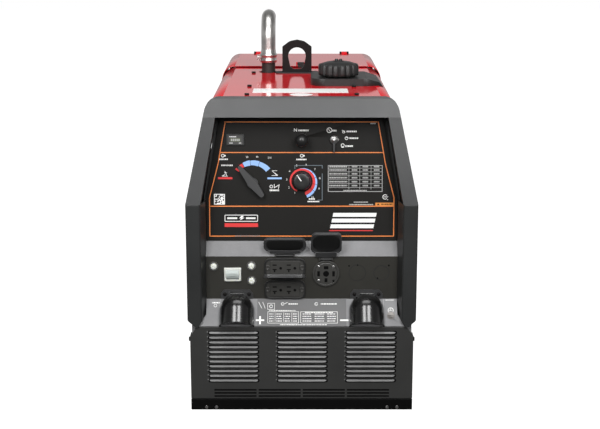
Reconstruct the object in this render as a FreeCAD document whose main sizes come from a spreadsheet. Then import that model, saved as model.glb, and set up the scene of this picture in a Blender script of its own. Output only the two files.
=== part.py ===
import FreeCAD, Part
import math
import operator
import os
import types
import Sketcher

# An engine driven welder: a two-cylinder petrol engine turning a welding generator inside a steel case.
# X runs across the case (right is +X), the control panel faces -Y, Z is up, and the origin is the
# middle of the footprint on the floor. All sizes are millimetres.

doc = FreeCAD.newDocument("EngineDrivenWelder")
sheet = doc.addObject("Spreadsheet::Sheet", "Sizes")
Vector = FreeCAD.Vector

DIMENSIONS = {
    # whole case
    "overall_depth": 1073,
    "hood_overhang": 30,
    "case_half": 266,
    "bezel_half": 273,
    "shoulder_height": 511,
    "roof_height": 755,
    "door_height": 759,
    "bezel_height": 757,
    "side_lean": 0.205,
    "roof_radius": 36,
    "skin": 2,
    "roof_skin": 1.5,
    # base tray
    "base_height": 58,
    "base_wall": 3,
    "kick_height": 28.5,
    "base_bolt_x": 244,
    "base_bolt_y": 430,
    "base_bolt_radius": 7,
    # front bezel
    "cheek_width": 35,
    "cheek_wall": 3.5,
    "cheek_draft": 8,
    "cheek_bottom": 209,
    "cheek_chamfer": 19,
    "bezel_depth": 78,
    "visor_height": 712,
    "visor_back": 40,
    "opening_lean": 0.1766,
    # recess behind the bezel
    "recess_half": 229.8,
    "ledge_front_height": 212.5,
    "ledge_back_height": 269.5,
    "outlet_depth": 43,
    "outlet_top": 375.7,
    "nameplate_depth": 64,
    "nameplate_foot": 408.3,
    "nameplate_lean": 7.68,
    "nameplate_length": 306,
    # louvred front panel
    "louver_panel_depth": 5,
    "louver_panel_half": 268,
    "louver_width": 121,
    "louver_pitch": 12.1,
    "louver_bank_pitch": 165,
    # roof furniture
    "roof_end": 694,
    "door_front": 686,
    "door_rear": 1030,
    "hinge_depth": 1036,
    "hinge_rise": 761,
    "hinge_spread": 134,
    "eye_x": -12.5,
    "eye_depth": 557,
    "eye_thickness": 10,
    "eye_width": 80,
    "eye_height": 846,
    "exhaust_x": -91,
    "exhaust_depth": 579,
    "exhaust_radius": 19.5,
    "exhaust_bend": 55,
    "exhaust_top": 922,
    "cap_x": 94,
    "cap_depth": 330,
    "cap_radius": 52,
    "neck_radius": 28,
    # controls
    "choke_radius": 16,
    "knob_radius": 22.5,
    "shaft_radius": 3,
    "running_gap": 0.05,
    # receptacles
    "duplex_half_width": 49,
    "duplex_height": 46,
    "duplex_x": -40.5,
    "round_x": 58.3,
    "round_height": 333.8,
    "round_radius": 32.5,
    "button_radius": 7.5,
    # welding terminals
    "terminal_x": 156,
    "terminal_drop": 35,
    "stud_radius": 6.35,
    "hood_radius": 42,
    "hood_wall": 3,
    # engine and generator
    "shaft_height": 225,
    "crank_radius": 20,
    "stator_radius": 150,
    "stator_bore": 98,
    "blower_radius": 165,
}

for row, (alias, number) in enumerate(DIMENSIONS.items(), start=1):
    sheet.set("A%d" % row, alias)
    sheet.set("B%d" % row, str(number))
    sheet.setAlias("B%d" % row, alias)
doc.recompute()


# ---------------------------------------------------------------- sizes that remember their formula

OPERATIONS = {"+": operator.add, "-": operator.sub, "*": operator.mul, "/": operator.truediv}


class Size:
    """A length that knows both its value and the formula over the sheet that gives it."""

    def __init__(self, number, text):
        self.number = float(number)
        self.text = text

    def __float__(self):
        return self.number

    def __add__(self, other):
        return combined(self, "+", other)

    def __radd__(self, other):
        return combined(other, "+", self)

    def __sub__(self, other):
        return combined(self, "-", other)

    def __rsub__(self, other):
        return combined(other, "-", self)

    def __mul__(self, other):
        return combined(self, "*", other)

    def __rmul__(self, other):
        return combined(other, "*", self)

    def __truediv__(self, other):
        return combined(self, "/", other)

    def __neg__(self):
        return combined(0, "-", self)


def sized(value):
    """Any number as a Size."""
    if isinstance(value, Size):
        return value
    return Size(value, "(%.6f)" % float(value))


def combined(first, sign, second):
    """Two sizes joined by + - * or /, as a Size."""
    first, second = sized(first), sized(second)
    number = OPERATIONS[sign](first.number, second.number)
    return Size(number, "(%s %s %s)" % (first.text, sign, second.text))


S = types.SimpleNamespace(**{alias: Size(number, "Sizes." + alias)
                             for alias, number in DIMENSIONS.items()})


def bind(thing, name, value):
    """Tie one property of a document object to the sheet."""
    thing.setExpression(name, sized(value).text)


def deep(depth):
    """The Y of a point that lies this far behind the front of the bezel."""
    return depth + S.hood_overhang - S.overall_depth / 2


# ---------------------------------------------------------------- shapes

def box(xs, ys, zs):
    """A block between two values of X, of Y and of Z."""
    block = doc.addObject("Part::Box", "Block")
    bind(block, "Length", xs[1] - xs[0])
    bind(block, "Width", ys[1] - ys[0])
    bind(block, "Height", zs[1] - zs[0])
    put(block, (xs[0], ys[0], zs[0]))
    return block


def put(thing, place):
    """Tie a thing's position to the sheet."""
    for name, value in zip(("x", "y", "z"), place):
        bind(thing, "Placement.Base." + name, value)


TURNED = {
    "Z": FreeCAD.Rotation(),
    "Y": FreeCAD.Rotation(Vector(1, 0, 0), -90),
    "X": FreeCAD.Rotation(Vector(0, 1, 0), 90),
}


def stand(thing, axis, centre, start):
    """Lay a round primitive along an axis; centre is its place across that axis, in X, Y, Z order."""
    thing.Placement = FreeCAD.Placement(Vector(), TURNED[axis])
    first, second = centre
    put(thing, {"X": (start, first, second), "Y": (first, start, second),
                "Z": (first, second, start)}[axis])
    return thing


def rod(axis, centre, radius, span):
    """A round bar along an axis."""
    bar = doc.addObject("Part::Cylinder", "Rod")
    bind(bar, "Radius", radius)
    bind(bar, "Height", span[1] - span[0])
    return stand(bar, axis, centre, span[0])


def cone(axis, centre, radii, span):
    """A tapered round bar along an axis."""
    taper = doc.addObject("Part::Cone", "Taper")
    bind(taper, "Radius1", radii[0])
    bind(taper, "Radius2", radii[1])
    bind(taper, "Height", span[1] - span[0])
    return stand(taper, axis, centre, span[0])


def ball(place, radius):
    """A sphere."""
    sphere = doc.addObject("Part::Sphere", "Ball")
    bind(sphere, "Radius", radius)
    put(sphere, place)
    return sphere


def hexagon(axis, centre, across, span):
    """A six-sided bar, such as a nut or a bolt head."""
    prism = doc.addObject("Part::Prism", "Hexagon")
    prism.Polygon = 6
    bind(prism, "Circumradius", sized(across) / math.sqrt(3))
    bind(prism, "Height", span[1] - span[0])
    return stand(prism, axis, centre, span[0])


def joined(*pieces):
    """One solid from touching pieces."""
    union = doc.addObject("Part::MultiFuse", "Union")
    union.Shapes = list(pieces)
    return union


def grouped(*pieces):
    """Separate solids kept together."""
    group = doc.addObject("Part::Compound", "Group")
    group.Links = list(pieces)
    return group


def cut(base, *tools):
    """A solid with others taken away from it."""
    difference = doc.addObject("Part::Cut", "Difference")
    difference.Base = base
    difference.Tool = tools[0] if len(tools) == 1 else joined(*tools)
    return difference


def shared(*pieces):
    """What all the pieces have in common."""
    overlap = doc.addObject("Part::MultiCommon", "Overlap")
    overlap.Shapes = list(pieces)
    return overlap


PLANES = {
    # plane of the outline: (role of the origin plane, sign of its normal, how to flatten a point)
    "XY": ("XY_Plane", 1, lambda p: (p.x, p.y)),
    "XZ": ("XZ_Plane", -1, lambda p: (p.x, p.z)),
    "YZ": ("YZ_Plane", 1, lambda p: (p.y, p.z)),
}


def outline_sketch(body, plane, corners, lift):
    """A closed sketch through the corners, every corner tied to the sheet."""
    role, side, flatten = PLANES[plane]
    sketch = body.newObject("Sketcher::SketchObject", "Outline")
    origin_plane = next(item for item in body.Origin.OriginFeatures if item.Role == role)
    sketch.AttachmentSupport = [(origin_plane, "")]
    sketch.MapMode = "FlatFace"
    bind(sketch, "AttachmentOffset.Base.z", lift)
    count = len(corners)
    places = [Vector(float(u), float(v), 0) for u, v in corners]
    for index in range(count):
        sketch.addGeometry(Part.LineSegment(places[index], places[(index + 1) % count]), False)
    for index in range(count):
        sketch.addConstraint(Sketcher.Constraint("Coincident", index, 2, (index + 1) % count, 1))
    for index, corner in enumerate(corners):
        for kind, value in zip(("DistanceX", "DistanceY"), corner):
            number = sketch.addConstraint(Sketcher.Constraint(kind, -1, 1, index, 1, float(value)))
            bind(sketch, "Constraints[%d]" % number, value)
    return sketch


def pad(plane, corners, span, rounds=()):
    """An outline drawn in a plane and padded between two values along that plane's axis.

    rounds lists (radius, corner numbers) for the corners that are rounded."""
    role, side, flatten = PLANES[plane]
    body = doc.addObject("PartDesign::Body", "Body")
    lift = span[0] if side > 0 else -sized(span[1])
    sketch = outline_sketch(body, plane, corners, lift)
    solid = body.newObject("PartDesign::Pad", "Pad")
    solid.Profile = sketch
    bind(solid, "Length", span[1] - span[0])
    doc.recompute()
    for radius, numbers in rounds:
        places = [tuple(float(value) for value in corners[number]) for number in numbers]
        names = []
        for index, edge in enumerate(solid.Shape.Edges, start=1):
            ends = [flatten(vertex.Point) for vertex in edge.Vertexes]
            along = len(ends) == 2 and math.dist(ends[0], ends[1]) < 0.01
            if along and any(math.dist(ends[0], place) < 0.01 for place in places):
                names.append("Edge%d" % index)
        rounded = body.newObject("PartDesign::Fillet", "Rounded")
        rounded.Base = (solid, names)
        bind(rounded, "Radius", radius)
        doc.recompute()
        solid = rounded
    return body


def mirrored_corners(corners):
    """Corners on the right, from bottom to top, repeated on the left to close an outline."""
    return list(corners) + [(-sized(x), z) for x, z in reversed(corners)]


def leaned(piece, depth, height, lean):
    """Set a piece drawn flat (X across, Y up the panel, Z out of it) on a panel that leans back."""
    piece.Placement = FreeCAD.Placement(Vector(), FreeCAD.Rotation(Vector(1, 0, 0), 90 - float(lean)))
    put(piece, (0, deep(depth), height))
    return piece


PARTS = []


def finish(piece, name):
    """Give a finished sub-part its name."""
    piece.Label = name
    PARTS.append(piece)
    return piece


# ---------------------------------------------------------------- outlines of the case

def side_at(half, height):
    """Half width of the case at a height above the shoulder, where the sides lean in."""
    return half - S.side_lean * (height - S.shoulder_height)


def arch(half, top, foot, span, inset=0):
    """The upside-down U of the upper case, as a solid; inset draws it smaller all round."""
    half = half - inset
    top = top - inset
    corners = mirrored_corners([(side_at(half, foot), foot), (side_at(half, top), top)])
    return pad("XZ", corners, span, [(S.roof_radius - inset, (1, 2))])


def arch_shell(half, top, foot, span, thickness):
    """A bent cover sheet over the upper case, open underneath and at both ends."""
    low, high = span
    inner = arch(half, top, foot - 5, (low - 5, high + 5), thickness)
    return cut(arch(half, top, foot, span), inner)


def opening_half(height, draft=0):
    """Half width of the bezel's opening at a height."""
    lower = S.bezel_half - S.cheek_width - draft
    return lower - S.opening_lean * (height - S.shoulder_height)


# ---------------------------------------------------------------- base tray

def base_frame():
    """Welded tray: floor, walls with turned-in flanges, and two cross members for engine and generator."""
    wall = S.base_wall
    front, rear = deep(7), deep(1043)
    floor = box((-S.case_half, S.case_half), (front, rear), (0, wall))
    kick = box((-S.louver_panel_half, S.louver_panel_half), (deep(4), front), (0, S.kick_height))
    pieces = [floor, kick]
    for low, high in ((front, front + wall), (rear - wall, rear)):
        pieces.append(box((-S.case_half, S.case_half), (low, high), (0, S.base_height)))
    for side in (-1, 1):
        outer = side * S.case_half
        inner = side * (S.case_half - wall)
        lip = side * (S.case_half - 30)
        low, high = (outer, inner) if side < 0 else (inner, outer)
        pieces.append(box((low, high), (front, rear), (0, S.base_height)))
        low, high = (outer, lip) if side < 0 else (lip, outer)
        pieces.append(box((low, high), (front, rear), (S.base_height - wall, S.base_height)))
    for depth in (400, 700):
        for edge in (depth, depth + 57):
            pieces.append(box((-235, 235), (deep(edge), deep(edge + 3)), (wall, S.base_height)))
        top = (S.base_height - wall, S.base_height)
        pieces.append(box((-235, 235), (deep(depth), deep(depth + 60)), top))
    holes = []
    for x in (-S.base_bolt_x, S.base_bolt_x):
        for y in (-S.base_bolt_y, S.base_bolt_y):
            holes.append(rod("Z", (x, y), S.base_bolt_radius, (-1, wall + 1)))
    return cut(joined(*pieces), *holes)


finish(base_frame(), "base_frame")


# ---------------------------------------------------------------- louvred front panel

def front_louver_panel():
    """Sheet with three banks of formed louvres over four rows of slots, and side and top flanges."""
    face = S.louver_panel_depth
    back = face + S.skin
    half = S.louver_panel_half
    foot = S.kick_height + 0.5
    corners = mirrored_corners([(half, foot), (half, 188), (251, 211)])
    pieces = [pad("XZ", corners, (deep(face), deep(back)))]
    pieces.append(box((-half, -half + S.skin), (deep(back), deep(36)), (foot, 188)))
    pieces.append(box((half - S.skin, half), (deep(back), deep(36)), (foot, 188)))
    pieces.append(box((-251, 251), (deep(back), deep(28)), (211 - S.skin, 211)))
    slots = []
    blades = []
    for bank in (-1, 0, 1):
        middle = bank * S.louver_bank_pitch
        xs = (middle - S.louver_width / 2, middle + S.louver_width / 2)
        for row in range(11):
            height = 76 + row * S.louver_pitch
            slots.append(box(xs, (deep(face - 1), deep(back + 1)), (height - 2.2, height + 3.2)))
            blade = [(deep(face + 1), height + 5), (deep(0.4), height - 0.6),
                     (deep(0.4), height - 2.2), (deep(face + 1), height + 3.2)]
            blades.append(pad("YZ", blade, xs))
    for group in range(4):
        middle = (group - 1.5) * 107
        for row in range(3):
            height = 33 + 8 * row
            slots.append(box((middle - 51, middle + 51), (deep(face - 1), deep(back + 1)),
                             (height, height + 3)))
    return joined(cut(joined(*pieces), *slots), *blades)


finish(front_louver_panel(), "front_louver_panel")


# ---------------------------------------------------------------- front bezel

def bezel_cheek(side):
    """Hollow lower leg of the bezel: outer wall, front face and an inner wall drawn in towards the back."""
    wall = S.cheek_wall
    outer = S.bezel_half
    inner = S.bezel_half - S.cheek_width
    back = inner - S.cheek_draft
    plan = [(outer, deep(60)), (outer, deep(3)), (outer - 3, deep(0)), (inner + 3, deep(0)),
            (inner, deep(3)), (back, deep(42.5)), (back, deep(66)), (back + wall, deep(66)),
            (back + wall, deep(43)), (inner + wall, deep(wall)), (outer - wall, deep(wall)),
            (outer - wall, deep(60))]
    plan = [(side * x, y) for x, y in plan]
    leg = pad("XY", plan, (S.cheek_bottom, S.shoulder_height))
    reach = (deep(-5), deep(90))
    outside = [(outer + 5, S.cheek_bottom - 1), (outer + 5, S.cheek_bottom + S.cheek_chamfer),
               (outer, S.cheek_bottom + S.cheek_chamfer), (251, S.cheek_bottom),
               (251, S.cheek_bottom - 1)]
    inside = [(back - 3, S.cheek_bottom - 1), (249, S.cheek_bottom - 1), (249, S.cheek_bottom),
              (inner, 226), (back - 3, 236)]
    tools = [pad("XZ", [(side * x, z) for x, z in corners], reach) for corners in (outside, inside)]
    return cut(leg, *tools)


finish(grouped(bezel_cheek(-1), bezel_cheek(1)), "bezel_cheeks")


def behind_bezel_face(offset, back):
    """Everything behind the bezel's front, which leans back up to the visor and then more above it."""
    corners = [(deep(offset), S.shoulder_height - 5), (deep(offset), S.shoulder_height),
               (deep(S.visor_back + offset), S.visor_height),
               (deep(S.visor_back + 18 + offset), S.bezel_height - 4),
               (deep(S.visor_back + 27 + offset), S.bezel_height + 5),
               (deep(back), S.bezel_height + 5), (deep(back), S.shoulder_height - 5)]
    return pad("YZ", corners, (-300, 300))


def opening_prism(foot, reach, grow, draft=0):
    """The bezel's opening as a solid; grow draws it larger all round."""
    top = S.visor_height + grow
    corners = mirrored_corners([(opening_half(foot, draft) + grow, foot),
                                (opening_half(top, draft) + grow, top)])
    return pad("XZ", corners, reach)


def bezel_upper():
    """Visor and leaning upper legs in one hollow piece, with inner walls that run back to the nameplate."""
    wall = S.cheek_wall
    foot = S.shoulder_height + 0.5
    reach = (deep(-5), deep(S.bezel_depth))
    outer = shared(arch(S.bezel_half, S.bezel_height, foot, reach), behind_bezel_face(0, 100))
    hollow_reach = (deep(-5), deep(S.bezel_depth + 1))
    hollow = shared(arch(S.bezel_half, S.bezel_height, foot - 4, hollow_reach, wall),
                    behind_bezel_face(wall, 110))
    opening = opening_prism(foot - 4, (deep(-6), deep(S.bezel_depth + 2)), 0)
    shell = cut(outer, hollow, opening)
    ring_reach = (deep(-5), deep(111))
    ring = shared(opening_prism(foot, ring_reach, wall), behind_bezel_face(0.5, 112))
    throat = opening_prism(foot - 4, (deep(-6), deep(115)), 0)
    nameplate_back = [(deep(64 + 12), foot - 20), (deep(64 + 12), foot), (deep(108), S.visor_height + 8),
                      (deep(140), S.visor_height + 8), (deep(140), foot - 20)]
    behind = pad("YZ", nameplate_back, (-300, 300))
    inner_wall = cut(ring, throat, behind)
    return joined(shell, inner_wall)


finish(bezel_upper(), "bezel_upper")


# ---------------------------------------------------------------- nameplate and output panels

SWITCH_ROW = 243.5
DIAL_ROW = 144.5
RANGE_X = -117.7
RANGE_ROW = 139.9
ENGINE_SWITCH_X = 79.3
HOUR_METER_X = -158.9


def nameplate_panel():
    """Leaning control plate with its holes; drawn flat, then leaned back."""
    half = S.recess_half
    shoulder = (float(S.shoulder_height) - float(S.nameplate_foot)) / math.cos(math.radians(7.68))
    top = S.nameplate_length
    top_half = half - 0.175 * (top - shoulder)
    plate = pad("XY", mirrored_corners([(half, 0.5), (half, shoulder), (top_half, top)]),
                (-S.skin, 0))
    through = (-5, 5)
    holes = [
        box((HOUR_METER_X - 19, HOUR_METER_X + 19), (SWITCH_ROW - 12, SWITCH_ROW + 12), through),
        rod("Z", (0, SWITCH_ROW), 6, through),
        rod("Z", (ENGINE_SWITCH_X, SWITCH_ROW), 6, through),
        rod("Z", (RANGE_X, RANGE_ROW), 6, through),
        rod("Z", (0, DIAL_ROW), 6, through),
    ]
    return cut(plate, *holes)


def on_nameplate(piece):
    """Set a piece drawn flat onto the nameplate."""
    return leaned(piece, S.nameplate_depth, S.nameplate_foot, S.nameplate_lean)


finish(on_nameplate(nameplate_panel()), "nameplate_panel")

LOWER_DUPLEX_HEIGHT = 293.7
UPPER_DUPLEX_HEIGHT = 348.3
BUTTONS = ((-211.0, 351.5), (-120.7, 352.5), (-120.2, 315.7))
MAIN_BREAKER = (-166.0, 331.3)
LEDGE_LEAN = math.degrees(math.atan2(43 - 5, 269.5 - 212.5))


def on_ledge(piece):
    """Set a piece drawn flat onto the sloping terminal ledge, Y measured up from its back edge."""
    return leaned(piece, S.outlet_depth, S.ledge_back_height, LEDGE_LEAN)


def output_panel():
    """Folded sheet: terminal ledge, upright receptacle face and the ledge up to the nameplate."""
    skin = S.skin
    face = S.outlet_depth
    profile = [(deep(5), S.ledge_front_height), (deep(face), S.ledge_back_height),
               (deep(face), S.outlet_top), (deep(S.nameplate_depth), S.nameplate_foot),
               (deep(S.nameplate_depth + 2.4), S.nameplate_foot), (deep(face + skin), S.outlet_top - 0.6),
               (deep(face + skin), S.ledge_back_height - 0.6), (deep(6.8), S.ledge_front_height - 1.2)]
    sheet_metal = pad("YZ", profile, (-248, 248))
    reach = (deep(-5), deep(90))
    tools = []
    inner = S.bezel_half - S.cheek_width
    for side in (-1, 1):
        edge = [(S.recess_half, 236.5), (inner + 0.3, 226), (249.3, 209), (260, 209), (260, 420),
                (S.recess_half, 420)]
        tools.append(pad("XZ", [(side * x, z) for x, z in edge], reach))
    through = (deep(30), deep(60))
    for height in (LOWER_DUPLEX_HEIGHT, UPPER_DUPLEX_HEIGHT):
        tools.append(box((S.duplex_x - 38, S.duplex_x + 38), through, (height - 17, height + 17)))
    tools.append(rod("Y", (S.round_x, S.round_height), 27, through))
    for x, z in BUTTONS:
        tools.append(rod("Y", (x, z), 9.3, through))
    tools.append(box((MAIN_BREAKER[0] - 15.5, MAIN_BREAKER[0] + 15.5), through,
                     (MAIN_BREAKER[1] - 14, MAIN_BREAKER[1] + 14)))
    stud_holes = [rod("Z", (x, -S.terminal_drop), 9, (-8, 8)) for x in (-S.terminal_x, S.terminal_x)]
    tools.append(on_ledge(joined(*stud_holes, rod("Z", (214, -42), 4.5, (-8, 8)))))
    return cut(sheet_metal, *tools)


finish(output_panel(), "output_panel")


# ---------------------------------------------------------------- roof, door, sides and back

def roof():
    """Fixed front cover with openings for the exhaust, the lifting eye and the filler neck."""
    foot = S.shoulder_height + 0.5
    cover = arch_shell(S.case_half, S.roof_height, foot,
                       (deep(S.bezel_depth + 0.3), deep(S.roof_end)), S.roof_skin)
    through = (700, 790)
    eye_half = S.eye_width / 2 + 3
    return cut(cover,
               rod("Z", (S.exhaust_x, deep(S.exhaust_depth)), 27, through),
               rod("Z", (S.cap_x, deep(S.cap_depth)), 40, through),
               box((S.eye_x - eye_half, S.eye_x + eye_half),
                   (deep(S.eye_depth - 9), deep(S.eye_depth + 9)), through))


finish(roof(), "roof")

DOOR_PROUD = 4
LATCH_X = -2
LATCH_DEPTH = 700


def latch_bracket():
    """Two lugs and the pin that hold the latch to the door."""
    spot = (deep(LATCH_DEPTH + 8), S.door_height + 5)
    pieces = [rod("X", spot, 1.5, (LATCH_X - 13, LATCH_X + 13))]
    for low in (LATCH_X - 13, LATCH_X + 9.3):
        pieces.append(box((low, low + 3.7), (deep(LATCH_DEPTH + 4), deep(LATCH_DEPTH + 12)),
                          (S.door_height, S.door_height + 9)))
    return joined(*pieces)


def engine_door():
    """Rear cover that lifts on two hinges; it laps over the end of the roof."""
    foot = S.shoulder_height + 1
    cover = arch_shell(S.case_half + DOOR_PROUD, S.door_height, foot,
                       (deep(S.door_front), deep(S.door_rear)), S.roof_skin)
    pieces = [cover, latch_bracket()]
    for side in (-1, 1):
        middle = side * S.hinge_spread
        knuckle = rod("X", (deep(S.hinge_depth), S.hinge_rise), 4, (middle - 8, middle + 8))
        arm = box((middle - 8, middle + 8), (deep(S.door_rear - 14), deep(S.hinge_depth)),
                  (S.door_height, S.door_height + 3))
        pieces += [knuckle, arm]
    bores = [rod("X", (deep(S.hinge_depth), S.hinge_rise), 2 + S.running_gap, (-180, 180))]
    return cut(joined(*pieces), *bores)


finish(engine_door(), "engine_door")


def door_hinge():
    """Two fixed hinge blocks with their pins, on top of the rear frame."""
    pieces = []
    for side in (-1, 1):
        middle = side * S.hinge_spread
        spot = (deep(S.hinge_depth), S.hinge_rise)
        lugs = []
        for low in (middle - 14.3, middle + 8.3):
            lugs.append(rod("X", spot, 4, (low, low + 6)))
            lugs.append(box((low, low + 6), (deep(S.hinge_depth - 3), deep(S.hinge_depth + 4)),
                            (S.bezel_height - 1, S.hinge_rise)))
        pin = rod("X", spot, 2, (middle - 14.3, middle + 14.3))
        pieces.append(joined(pin, *lugs))
    return grouped(*pieces)


finish(door_hinge(), "door_hinge")


def rear_frame():
    """Shallow tray that closes the back of the upper case and carries the door hinges."""
    foot = S.shoulder_height + 0.5
    low, high = deep(1031.5), deep(1043)
    outer = arch(S.case_half, S.bezel_height - 1, foot, (low, high))
    hollow = arch(S.case_half, S.bezel_height - 1, foot - 5, (low - 1, high - 3), 3)
    return cut(outer, hollow)


finish(rear_frame(), "rear_frame")


def side_panel(side):
    """Side sheet with a turned top flange and two banks of air slots."""
    outer = side * S.case_half
    inner = side * (S.case_half - S.skin)
    lip = side * (S.case_half - 22)
    ys = (deep(40), deep(1018))
    zs = (S.base_height + 0.3, S.shoulder_height - 1)
    ends = sorted((outer, inner), key=float)
    flange = sorted((inner, lip), key=float)
    sheet_metal = joined(box(ends, ys, zs), box(flange, ys, (zs[1] - S.skin, zs[1])))
    slots = []
    for start in (130, 700):
        for row in range(12):
            height = 130 + 22 * row
            slots.append(box((ends[0] - 1, ends[1] + 1), (deep(start), deep(start + 200)),
                             (height, height + 7)))
    return cut(sheet_metal, *slots)


finish(side_panel(-1), "side_panel_left")
finish(side_panel(1), "side_panel_right")


def rear_panel():
    """Lower back sheet with forward flanges and an outlet grille."""
    zs = (S.base_height + 0.3, S.shoulder_height - 0.5)
    sheet_metal = [box((-S.case_half, S.case_half), (deep(1041), deep(1043)), zs)]
    for side in (-1, 1):
        ends = sorted((side * S.case_half, side * (S.case_half - S.skin)), key=float)
        sheet_metal.append(box(ends, (deep(1020), deep(1041)), zs))
    slots = []
    for row in range(16):
        height = 110 + 18 * row
        for low in (-175, 5):
            slots.append(box((low, low + 170), (deep(1035), deep(1050)), (height, height + 9)))
    return cut(joined(*sheet_metal), *slots)


finish(rear_panel(), "rear_panel")
finish(box((-232, 232), (deep(300), deep(302)), (S.base_wall, 545)), "bulkhead")


# ---------------------------------------------------------------- lifting eye and roof furniture

def lift_bail():
    """Eye plate welded to a cross bar on two legs that stand on the base."""
    low = S.eye_depth - S.eye_thickness / 2
    ys = (deep(low), deep(low + S.eye_thickness))
    half = S.eye_width / 2
    top = S.eye_height
    outline = [(S.eye_x - half, 705), (S.eye_x + half, 705), (S.eye_x + half, top - 19),
               (S.eye_x + 20, top - 4), (S.eye_x, top), (S.eye_x - 20, top - 4),
               (S.eye_x - half, top - 19)]
    eye = pad("XZ", outline, ys, [(26, (3, 5))])
    egg = [(S.eye_x - 23.6, top - 49), (S.eye_x - 17, top - 80), (S.eye_x + 17, top - 80),
           (S.eye_x + 23.6, top - 49)]
    hole = [rod("Y", (S.eye_x, top - 45), 24, (ys[0] - 1, ys[1] + 1)),
            pad("XZ", egg, (ys[0] - 1, ys[1] + 1), [(13, (1, 2))])]
    bar = box((-190, 190), (deep(low - 4), deep(low + S.eye_thickness - 4)), (693, 706))
    legs = [box((x, x + 10), (deep(537), deep(577)), (S.base_wall, 700)) for x in (-190, 180)]
    return joined(cut(eye, *hole), bar, *legs)


finish(lift_bail(), "lift_bail")


def lift_eye_gasket():
    """Rubber plate on the roof round the eye."""
    half = S.eye_width / 2
    zs = (S.roof_height, S.roof_height + 3)
    outline = [(S.eye_x - half - 18, deep(537)), (S.eye_x + half + 18, deep(537)),
               (S.eye_x + half + 18, deep(577)), (S.eye_x - half - 18, deep(577))]
    plate = pad("XY", outline, zs, [(9, (0, 1, 2, 3))])
    slot = box((S.eye_x - half - 0.2, S.eye_x + half + 0.2),
               (deep(S.eye_depth - 5.2), deep(S.eye_depth + 5.2)), (700, 800))
    return cut(plate, slot)


finish(lift_eye_gasket(), "lift_eye_gasket")


def filler_surround():
    """Moulded spill tray round the filler, following the roof down over the right shoulder."""
    ys = (deep(272), deep(440))
    section = [(24, 745), (24, 773), (166, 773), (196, 764), (216, 738), (216, 700), (180, 700)]
    block = pad("XZ", section, ys)
    plan = [(24, deep(272)), (216, deep(272)), (216, deep(440)), (24, deep(440))]
    rounded = pad("XY", plan, (690, 790), [(34, (0, 3)), (60, (1, 2))])
    body = shared(block, rounded)
    under = arch(S.case_half, S.roof_height, 600, (deep(250), deep(460)))
    return cut(body, under, rod("Z", (S.cap_x, deep(S.cap_depth)), 40, (700, 800)))


finish(filler_surround(), "filler_surround")


def fuel_tank():
    """Steel tank under the roof with its filler neck."""
    plan = [(-190, deep(215)), (200, deep(215)), (200, deep(515)), (-190, deep(515))]
    tank = pad("XY", plan, (548, 700), [(30, (0, 1, 2, 3))])
    spot = (S.cap_x, deep(S.cap_depth))
    neck = rod("Z", spot, S.neck_radius, (690, 778))
    bore = rod("Z", spot, S.neck_radius - 3, (640, 790))
    hollow = pad("XY", [(-187, deep(218)), (197, deep(218)), (197, deep(512)), (-187, deep(512))],
                 (551, 697), [(27, (0, 1, 2, 3))])
    return cut(joined(tank, neck), hollow, bore)


finish(fuel_tank(), "fuel_tank")

CAP_BASE = 776.5


def fuel_cap_gasket():
    """Sealing ring that lifts off with the cap."""
    spot = (S.cap_x, deep(S.cap_depth))
    return cut(rod("Z", spot, 36, (778.3, 781)), rod("Z", spot, 24, (770, 790)))


finish(fuel_cap_gasket(), "fuel_cap_gasket")


def fuel_cap():
    """Large lobed cap with a vent boss on top."""
    spot = (S.cap_x, deep(S.cap_depth))
    crown = rod("Z", spot, S.cap_radius - 3, (CAP_BASE, 805))
    pieces = [crown, cone("Z", spot, (S.cap_radius - 4, 16), (805, 812)), rod("Z", spot, 8, (811, 818))]
    for lobe in range(8):
        angle = math.radians(45 * lobe)
        x = S.cap_x + (S.cap_radius - 13) * math.cos(angle)
        y = deep(S.cap_depth) + (S.cap_radius - 13) * math.sin(angle)
        pieces.append(rod("Z", (x, y), 13, (CAP_BASE, 804)))
    underside = rod("Z", spot, 38, (CAP_BASE - 1, 781.3))
    return cut(joined(*pieces), underside)


finish(fuel_cap(), "fuel_cap")


def cover_screws():
    """Hex screws that hold the roof and the side panels."""
    heads = []
    for x in (-131, 131):
        for depth in (112, 266, 550):
            if x > 0 and depth == 266:
                depth = 258
            heads.append(hexagon("Z", (x, deep(depth)), 10, (S.roof_height, S.roof_height + 4.5)))
    for side in (-1, 1):
        for depth in (80, 540, 990):
            for height in (90, 480):
                start = S.case_half if side > 0 else -S.case_half - 4
                heads.append(hexagon("X", (deep(depth), height), 10, (start, start + 4)))
        start = S.louver_panel_half if side > 0 else -S.louver_panel_half - 4
        heads.append(hexagon("X", (deep(20), 176), 10, (start, start + 4)))
    return grouped(*heads)


finish(cover_screws(), "cover_screws")


# ---------------------------------------------------------------- exhaust

MUFFLER_DEPTH = 617
MUFFLER_HEIGHT = 622


def muffler():
    """Silencer drum across the case with its outlet pipe up through the roof."""
    drum = rod("X", (deep(MUFFLER_DEPTH), MUFFLER_HEIGHT), 62, (-160, 150))
    outlet = rod("Z", (S.exhaust_x, deep(S.exhaust_depth)), 18.5, (MUFFLER_HEIGHT + 45, 800))
    collar = rod("Z", (S.exhaust_x, deep(S.exhaust_depth)), 20, (S.roof_height - 2, S.roof_height + 3))
    bore = rod("Z", (S.exhaust_x, deep(S.exhaust_depth)), 16, (MUFFLER_HEIGHT + 20, 805))
    inlet = rod("Z", (60, deep(MUFFLER_DEPTH)), 18, (540, MUFFLER_HEIGHT - 50))
    return cut(joined(drum, outlet, collar, inlet), bore)


finish(muffler(), "muffler")


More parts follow.
